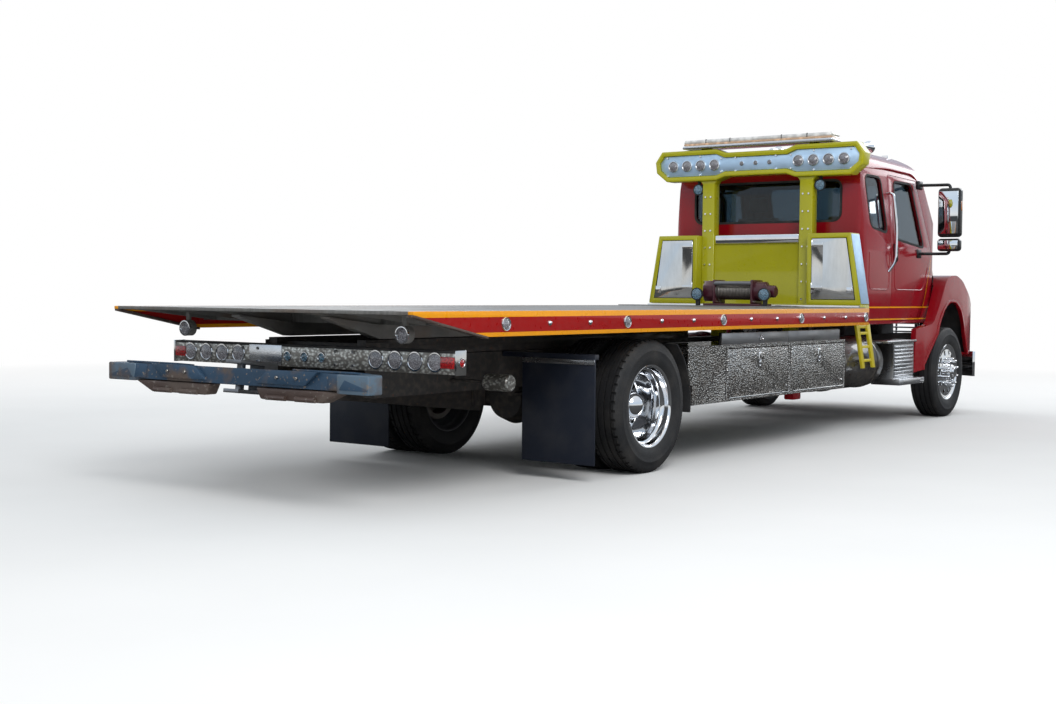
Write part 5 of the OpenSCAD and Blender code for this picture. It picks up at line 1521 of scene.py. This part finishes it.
class TRUCK_OT_pod(bpy.types.Operator):
    """Model the light pod, its recessed plate and lamps, the work lamps and the beacon bar"""

    bl_idname = "truck.pod"
    bl_label = "Light pod"

    def execute(self, context):
        size = context.scene.truck_sizes
        x, z = BOARD_X + 0.065, DECK_Z + 1.41
        case = outline(pod_outline(z), "X", x, x + 0.16)
        rounded(case, 0.010, 3, 20)
        for less, depth in ((0.03, 0.002), (0.045, 0.03)):
            carve(case, outline(pod_outline(z, less), "X", x - 0.1, x + depth))
        rounded(case, 0.004, 2, 50)
        finished(case, "pod_case", "board_yellow", "chassis", "light_pod")
        plate = outline(pod_outline(z, 0.050), "X", x + 0.02, x + 0.031)
        finished(rounded(plate, 0.003), "pod_face", "pod_plate", "chassis", "light_pod")
        spots = [sign * (0.457 + 0.157 * i) for sign in (-1, 1) for i in range(4)]
        lamps("pod_lamp", [facing((x + 0.021, y, z + 0.01), BACK) for y in spots], size.pod_lamp, 0.024,
              "chassis", "lamp_grey", "light_pod")
        lamps("pod_small_lamp", [facing((x + 0.021, y, z + 0.01), BACK) for y in (-0.152, 0, 0.152)], 0.024,
              0.018, "chassis")
        rivets = [(sign * y, rise) for sign in (-1, 1) for y, above, under in
                  ((0.22, 0.07, -0.06), (0.38, 0.07, -0.06), (0.62, 0.1, -0.085), (1.0, 0.1, -0.085))
                  for rise in (above, under)]
        bolts("pod_rivets", [facing((x + 0.02, y, z + rise), BACK) for y, rise in rivets], "chassis")
        self.work_lamps(z)
        self.beacons(z)
        return {"FINISHED"}

    def work_lamps(self, z):
        x = REAR_X + 4.01
        for side, sign in SIDES.items():
            shell = lathe([(0, 0.062), (0.030, 0.060), (0.050, 0.035), (0.056, 0.005), (0.056, 0), (0.050, 0),
                           (0.048, 0.008), (0, 0.008)], steps=32)
            pane = lathe([(0, 0), (0.048, 0), (0.045, 0.006), (0.02, 0.010), (0, 0.010)], steps=32)
            y = sign * 0.665
            stem = block((x + 0.015, y - 0.014, z - 0.185), (x + 0.045, y + 0.014, z - 0.13))
            flood_lamp(f"{side}_work_lamp", (x, y, z - 0.23), shell, pane, stem, "chassis", "light_pod")

    def beacons(self, z):
        """The bar: metal tray, clear lens with an amber foot, dark ribs and dark feet"""
        x = BOARD_X + 0.165
        tray = block((x - 0.11, -0.816, z + 0.177), (x + 0.11, 0.816, z + 0.213), 0.012, 3)
        finished(tray, "beacon_tray", "bright_aluminium", "chassis", "beacon_bar")
        amber = block((x - 0.104, -0.80, z + 0.210), (x + 0.104, 0.80, z + 0.232), 0.006)
        finished(amber, "beacon_foot", "beacon_amber", "chassis", "beacon_bar")
        cover = block((x - 0.100, -0.805, z + 0.228), (x + 0.100, 0.805, z + 0.268), 0.018, 4)
        finished(cover, "beacon_lens", "beacon_plastic", "chassis", "beacon_bar")
        ribs = [block((x - 0.102, y - 0.004, z + 0.228), (x + 0.102, y + 0.004, z + 0.2695), 0.002)
                for y in (-0.55, -0.28, 0.28, 0.55)]
        feet = [block((x - 0.06, y, z + 0.162), (x + 0.06, y + 0.06, z + 0.18), 0.003) for y in (-0.62, 0.56)]
        finished(joined(*ribs, *feet), "beacon_feet", "liner_black", "chassis", "beacon_bar")


class TRUCK_OT_roof_lamps(bpy.types.Operator):
    """Cab roof markers and the two chrome horns"""

    bl_idname = "truck.roof_lamps"
    bl_label = "Roof lamps and horns"

    def execute(self, context):
        shells, panes = [], []
        for y in (-0.7, -0.17, 0, 0.17, 0.7):
            roof = [(1.315, 1.7167), (1.44, 1.681), (1.405, 1.733), (1.37, 1.753), (1.335, 1.7496)]
            wedge = outline([(CAB.x + a, CAB.z + b) for a, b in roof], "Y", y - 0.038, y + 0.038)
            shells.append(rounded(wedge, 0.008, 3, 20))
            panes.append(block((CAB.x + 1.392, y - 0.026, CAB.z + 1.704),
                               (CAB.x + 1.423, y + 0.026, CAB.z + 1.722), 0.006))
        finished(joined(*shells), "roof_marker_shells", "chrome_trim", "chassis", "roof_lamps")
        finished(joined(*panes), "roof_marker_lenses", "lamp_amber", "chassis")
        horns = []
        for sign in SIDES.values():
            horn = lathe([(0, -0.12), (0.062, -0.12), (0.067, -0.112), (0.067, -0.095), (0.045, -0.04),
                          (0.034, 0.03), (0.030, 0.08), (0.012, 0.088), (0, 0.088)], axis="X", steps=40)
            y = sign * 0.52
            spot = Matrix.Translation((CAB.x + 1.24, y, CAB.z + 1.845))
            horns.append(moved(horn, spot @ Matrix.Rotation(math.pi, 4, "Z")))
            horns.append(tube([(CAB.x + 1.18, y, CAB.z + height) for height in (1.735, 1.84)], 0.02))
        finished(joined(*horns), "roof_horns", "chrome_trim", "chassis", "roof_lamps")
        return {"FINISHED"}


class TRUCK_OT_winch(bpy.types.Operator):
    """Model the winch: housing, motor, drum of rope, tension roller and two work lamps"""

    bl_idname = "truck.winch"
    bl_label = "Winch"

    def execute(self, context):
        x = DECK_FRONT - 0.13
        base = DECK_Z
        foot = low("winch").z
        z = base + 0.15
        plate = block((x - 0.135, -0.305, foot), (x + 0.125, 0.305, base + 0.03), 0.004)
        cheeks = [block((x - 0.115, y, base + 0.028), (x + 0.115, y + 0.025, z + 0.11), 0.03, 4)
                  for y in (-0.215, 0.19)]
        sides = [(-0.06, -0.10), (0.06, -0.10), (0.10, -0.05), (0.10, 0.05), (0.05, 0.10), (-0.05, 0.10),
                 (-0.10, 0.05), (-0.10, -0.05)]
        gear = outline([(x + a, z + b) for a, b in sides], "Y", 0.215, 0.33)
        rounded(gear, 0.008, 3)
        motor = lathe([(0, -0.41), (0.045, -0.41), (0.058, -0.40), (0.060, -0.33), (0.072, -0.325),
                       (0.092, -0.31), (0.094, -0.215), (0, -0.215)], (x, 0, z), "Y", 40)
        finished(joined(plate, gear, motor, *cheeks), "winch_case", "winch_maroon", "deck", "winch")
        profile = [(0.03, -0.19), (0.10, -0.19), (0.10, -0.18)]
        for i in range(22):
            y = -0.176 + 0.016 * i
            profile += [(0.076, y), (0.082, y + 0.004), (0.084, y + 0.008), (0.082, y + 0.012)]
        profile += [(0.10, 0.18), (0.10, 0.19), (0.03, 0.19)]
        finished(lathe(profile, (x, 0, z), "Y", 40), "winch_rope", "wire_rope", "deck", "winch", smooth=60)
        roller = lathe([(0, -0.2), (0.02, -0.2), (0.022, -0.19), (0.022, 0.19), (0.02, 0.2), (0, 0.2)],
                       (x - 0.095, 0, z + 0.075), "Y", 24)
        finished(roller, "winch_roller", "engine_grey", "deck", "winch")
        for side, sign in SIDES.items():
            shell = lathe([(0, 0.07), (0.035, 0.066), (0.055, 0.04), (0.062, 0.006), (0.062, 0), (0.056, 0),
                           (0.054, 0.008), (0, 0.008)], steps=32)
            pane = lathe([(0, 0), (0.054, 0), (0.051, 0.006), (0.025, 0.012), (0, 0.012)], steps=32)
            y, lamp_z = sign * 0.361, base + 0.12
            stem = block((x - 0.15, y - 0.018, foot), (x - 0.11, y + 0.018, lamp_z - 0.04))
            flood_lamp(f"{side}_winch_lamp", (x - 0.165, y, lamp_z), shell, pane, stem, "deck", "winch")
        return {"FINISHED"}


class TRUCK_OT_lift(bpy.types.Operator):
    """Round the wheel lift and add the crossbar's plates, end blocks, underside and bolts"""

    bl_idname = "truck.lift"
    bl_label = "Wheel lift"

    def execute(self, context):
        refitted("lift_boom", "chassis_black", "lift_boom", 0.008)
        refitted("lift_stinger", "stinger_steel", "lift_stinger", 0.005)
        refitted("lift_crossbar", "lift_blue", "lift_crossbar", 0.007)
        back, mid, half = low("lift_crossbar").x, middle("lift_crossbar"), high("lift_crossbar").y
        plates, ends, under, places = [], [], [], []
        for sign in SIDES.values():
            slant = self.across(sign, mid.z, (0.22, -0.030), (0.62, -0.030), (0.72, 0.052), (0.32, 0.052))
            plates.append(rounded(outline(slant, "X", back + 0.012, back + 0.045), 0.003))
            places += [facing((back + 0.0125, sign * y, mid.z + 0.01), BACK) for y in (0.40, 0.56)]
            shape = [(back + a, sign * (half + b)) for a, b in (
                (0.008, -0.24), (0.115, -0.30), (0.155, -0.06), (0.12, 0.004), (0.001, 0.004))]
            ends.append(rounded(outline(shape[::sign], "Z", mid.z - 0.062, mid.z + 0.048), 0.008, 3))
            foot = self.across(sign, mid.z, (0.20, -0.055), (0.24, -0.125), (0.74, -0.125), (0.90, -0.055))
            under.append(rounded(outline(foot, "X", back + 0.03, back + 0.13), 0.012, 3))
            under += [tube([(back + 0.024, sign * y, mid.z - 0.11) for y in ends_at], 0.016)
                      for ends_at in ((0.30, 0.46), (0.54, 0.70))]
        finished(joined(*plates), "crossbar_plates", "lift_blue", "lift_crossbar")
        finished(joined(*ends), "crossbar_ends", "lift_grey", "lift_crossbar")
        finished(joined(*under), "crossbar_underside", "lift_rust", "lift_crossbar")
        bolts("crossbar_bolts", places, "lift_crossbar", "exhaust_steel")
        return {"FINISHED"}

    def across(self, sign, height, *points):
        """An outline on one side of the crossbar, always in the same turning sense"""
        return [(sign * a, height + b) for a, b in points][::sign]


class TRUCK_OT_boxes(bpy.types.Operator):
    """Finish the toolboxes: doors, latches, hinge rods, seams, rivets and the strip above"""

    bl_idname = "truck.boxes"
    bl_label = "Toolboxes"

    def execute(self, context):
        refitted("toolboxes", "textured_steel", "chassis", 0.005)
        strips, rivets = [], []
        for side, sign in SIDES.items():
            for end in ("front", "rear"):
                body = f"{side}_{end}_box_door"
                finished(softened(body, 0.004), f"{side}_{end}_box_panel", "textured_steel", body, body)
                self.latch(body, sign, f"{side}_{end}_box_latch")
                rod_z = low(body).z - 0.0068
                rod = tube([(low(body).x + 0.02, sign * (BOX_Y + 0.003), rod_z),
                            (high(body).x - 0.02, sign * (BOX_Y + 0.003), rod_z)], 0.005)
                finished(rod, f"{side}_{end}_box_hinge", "polished_steel", "chassis")
                rivets += [facing((high(body).x - 0.04, sign * BOX_Y, low(body).z + 0.045), (0, sign, 0))]
            self.strip(side, sign)
            strips.append(facing((REAR_X + 1.72, sign * (BOX_Y - 0.009), 0.937), (0, sign, 0)))
        lamps("strip_lamp", strips, 0.026, 0.012, "chassis", "lamp_grey")
        bolts("box_rivets", rivets, "chassis")
        red = block((REAR_X + 2.72, -1.04, 0.365), (REAR_X + 2.86, -0.94, 0.452), 0.012, 3)
        finished(red, "air_line_bracket", "hood_red", "chassis")
        return {"FINISHED"}

    def latch(self, body, sign, name):
        """An upright paddle latch in a shallow tray"""
        spot = middle(body)
        y = sign * (BOX_Y + 0.001)
        z = high(body).z - 0.095

        def plate(half, inner, outer, bottom, top, edge, segments=2):
            return block((spot.x - half, y + inner * sign, z + bottom),
                         (spot.x + half, y + outer * sign, z + top), edge, segments)

        tray = plate(0.024, -0.004, 0.010, -0.062, 0.062, 0.006, 3)
        carve(tray, plate(0.015, 0.003, 0.03, -0.050, 0.028, 0.005))
        paddle = plate(0.012, 0, 0.014, -0.044, -0.006, 0.004)
        lock = moved(lathe([(0, 0), (0.010, 0), (0.010, 0.013), (0.008, 0.016), (0, 0.016)], steps=20),
                     facing((spot.x, y, z + 0.043), (0, sign, 0)))
        return finished(joined(tray, paddle, lock), name, "chrome_trim", body)

    def strip(self, side, sign):
        """The plain strip above the doors, with its joints and the doors' seams"""
        inner, outer = sign * (BOX_Y - 0.04), sign * (BOX_Y - 0.009)
        cover = [block((REAR_X + a, inner, 0.893), (REAR_X + b, outer, 0.983), 0.003)
                 for a, b in ((1.047, 2.218), (2.222, 3.283))]
        finished(joined(*cover), f"{side}_box_strip", "strip_steel", "chassis")
        inner, outer = sign * (BOX_Y - 0.01), sign * (BOX_Y + 0.0012)
        seams = [block((x - 0.0035, inner, 0.46), (x + 0.0035, outer, 0.885), 0)
                 for x in (low(f"{side}_rear_box_door").x - 0.03, low(f"{side}_front_box_door").x - 0.024)]
        finished(joined(*seams), f"{side}_box_seams", "liner_black", "chassis")


class TRUCK_OT_finishes(bpy.types.Operator):
    """Round the remaining frame pieces and give every CAD piece its finish"""

    bl_idname = "truck.finishes"
    bl_label = "Finishes"

    def execute(self, context):
        for part in frame["record"]["subparts"]:
            finish = part["material_slot"]
            refinished(part["node"], "cab_red" if part["node"] == "cab_shell" else finish)
        for node, finish, edge in (
                ("bumper", "chrome_trim", 0.01), ("fuel_tanks", "tank_black", 0.006),
                ("side_steps", "bright_aluminium", 0.003), ("ladders", "ladder_yellow", 0.006),
                ("tilt_frame", "chassis_black", 0.006), ("deck", "deck_steel", 0.002),
                ("mud_flaps", "flap_rubber", 0.002), ("dashboard", "dash_plastic", 0.02),
                ("exhaust", "exhaust_steel", 0.004), ("front_axle", "chassis_black", 0.004)):
            refitted(node, finish, node if node in ("tilt_frame", "deck") else "chassis", edge)
        return {"FINISHED"}


# ---------------------------------------------------------------- registration


class TRUCK_PT_panel(bpy.types.Panel):
    """Lists the truck's pieces in the order they're built"""

    bl_label = "Tow Truck"
    bl_idname = "TRUCK_PT_panel"
    bl_space_type = "VIEW_3D"
    bl_region_type = "UI"
    bl_category = "Tow Truck"

    def draw(self, context):
        for operator in OPERATORS:
            self.layout.operator(operator.bl_idname)
        for group in (context.scene.truck_sizes, context.scene.truck_colours, context.scene.stage_settings):
            for name in group.bl_rna.properties.keys()[2:]:
                self.layout.prop(group, name)


OPERATORS = (TRUCK_OT_finishes, TRUCK_OT_tyres, TRUCK_OT_rims, TRUCK_OT_cab, TRUCK_OT_doors, TRUCK_OT_mirrors,
             TRUCK_OT_hood, TRUCK_OT_seats, TRUCK_OT_roof_lamps, TRUCK_OT_side_rails, TRUCK_OT_tail,
             TRUCK_OT_light_bar, TRUCK_OT_headboard, TRUCK_OT_pod, TRUCK_OT_winch, TRUCK_OT_lift,
             TRUCK_OT_boxes, TRUCK_OT_stage)
GROUPS = (TruckSizes, TruckColours, StageSettings)


def register():
    for each in GROUPS + OPERATORS + (TRUCK_PT_panel,):
        bpy.utils.register_class(each)
    bpy.types.Scene.truck_sizes = bpy.props.PointerProperty(type=TruckSizes)
    bpy.types.Scene.truck_colours = bpy.props.PointerProperty(type=TruckColours)
    bpy.types.Scene.stage_settings = bpy.props.PointerProperty(type=StageSettings)


def unregister():
    del bpy.types.Scene.truck_sizes, bpy.types.Scene.truck_colours, bpy.types.Scene.stage_settings
    for each in (TRUCK_PT_panel,) + OPERATORS[::-1] + GROUPS:
        bpy.utils.unregister_class(each)


def main():
    register()
    for operator in OPERATORS:
        group, name = operator.bl_idname.split(".")
        getattr(getattr(bpy.ops, group), name)()


if __name__ == "__main__":
    main()
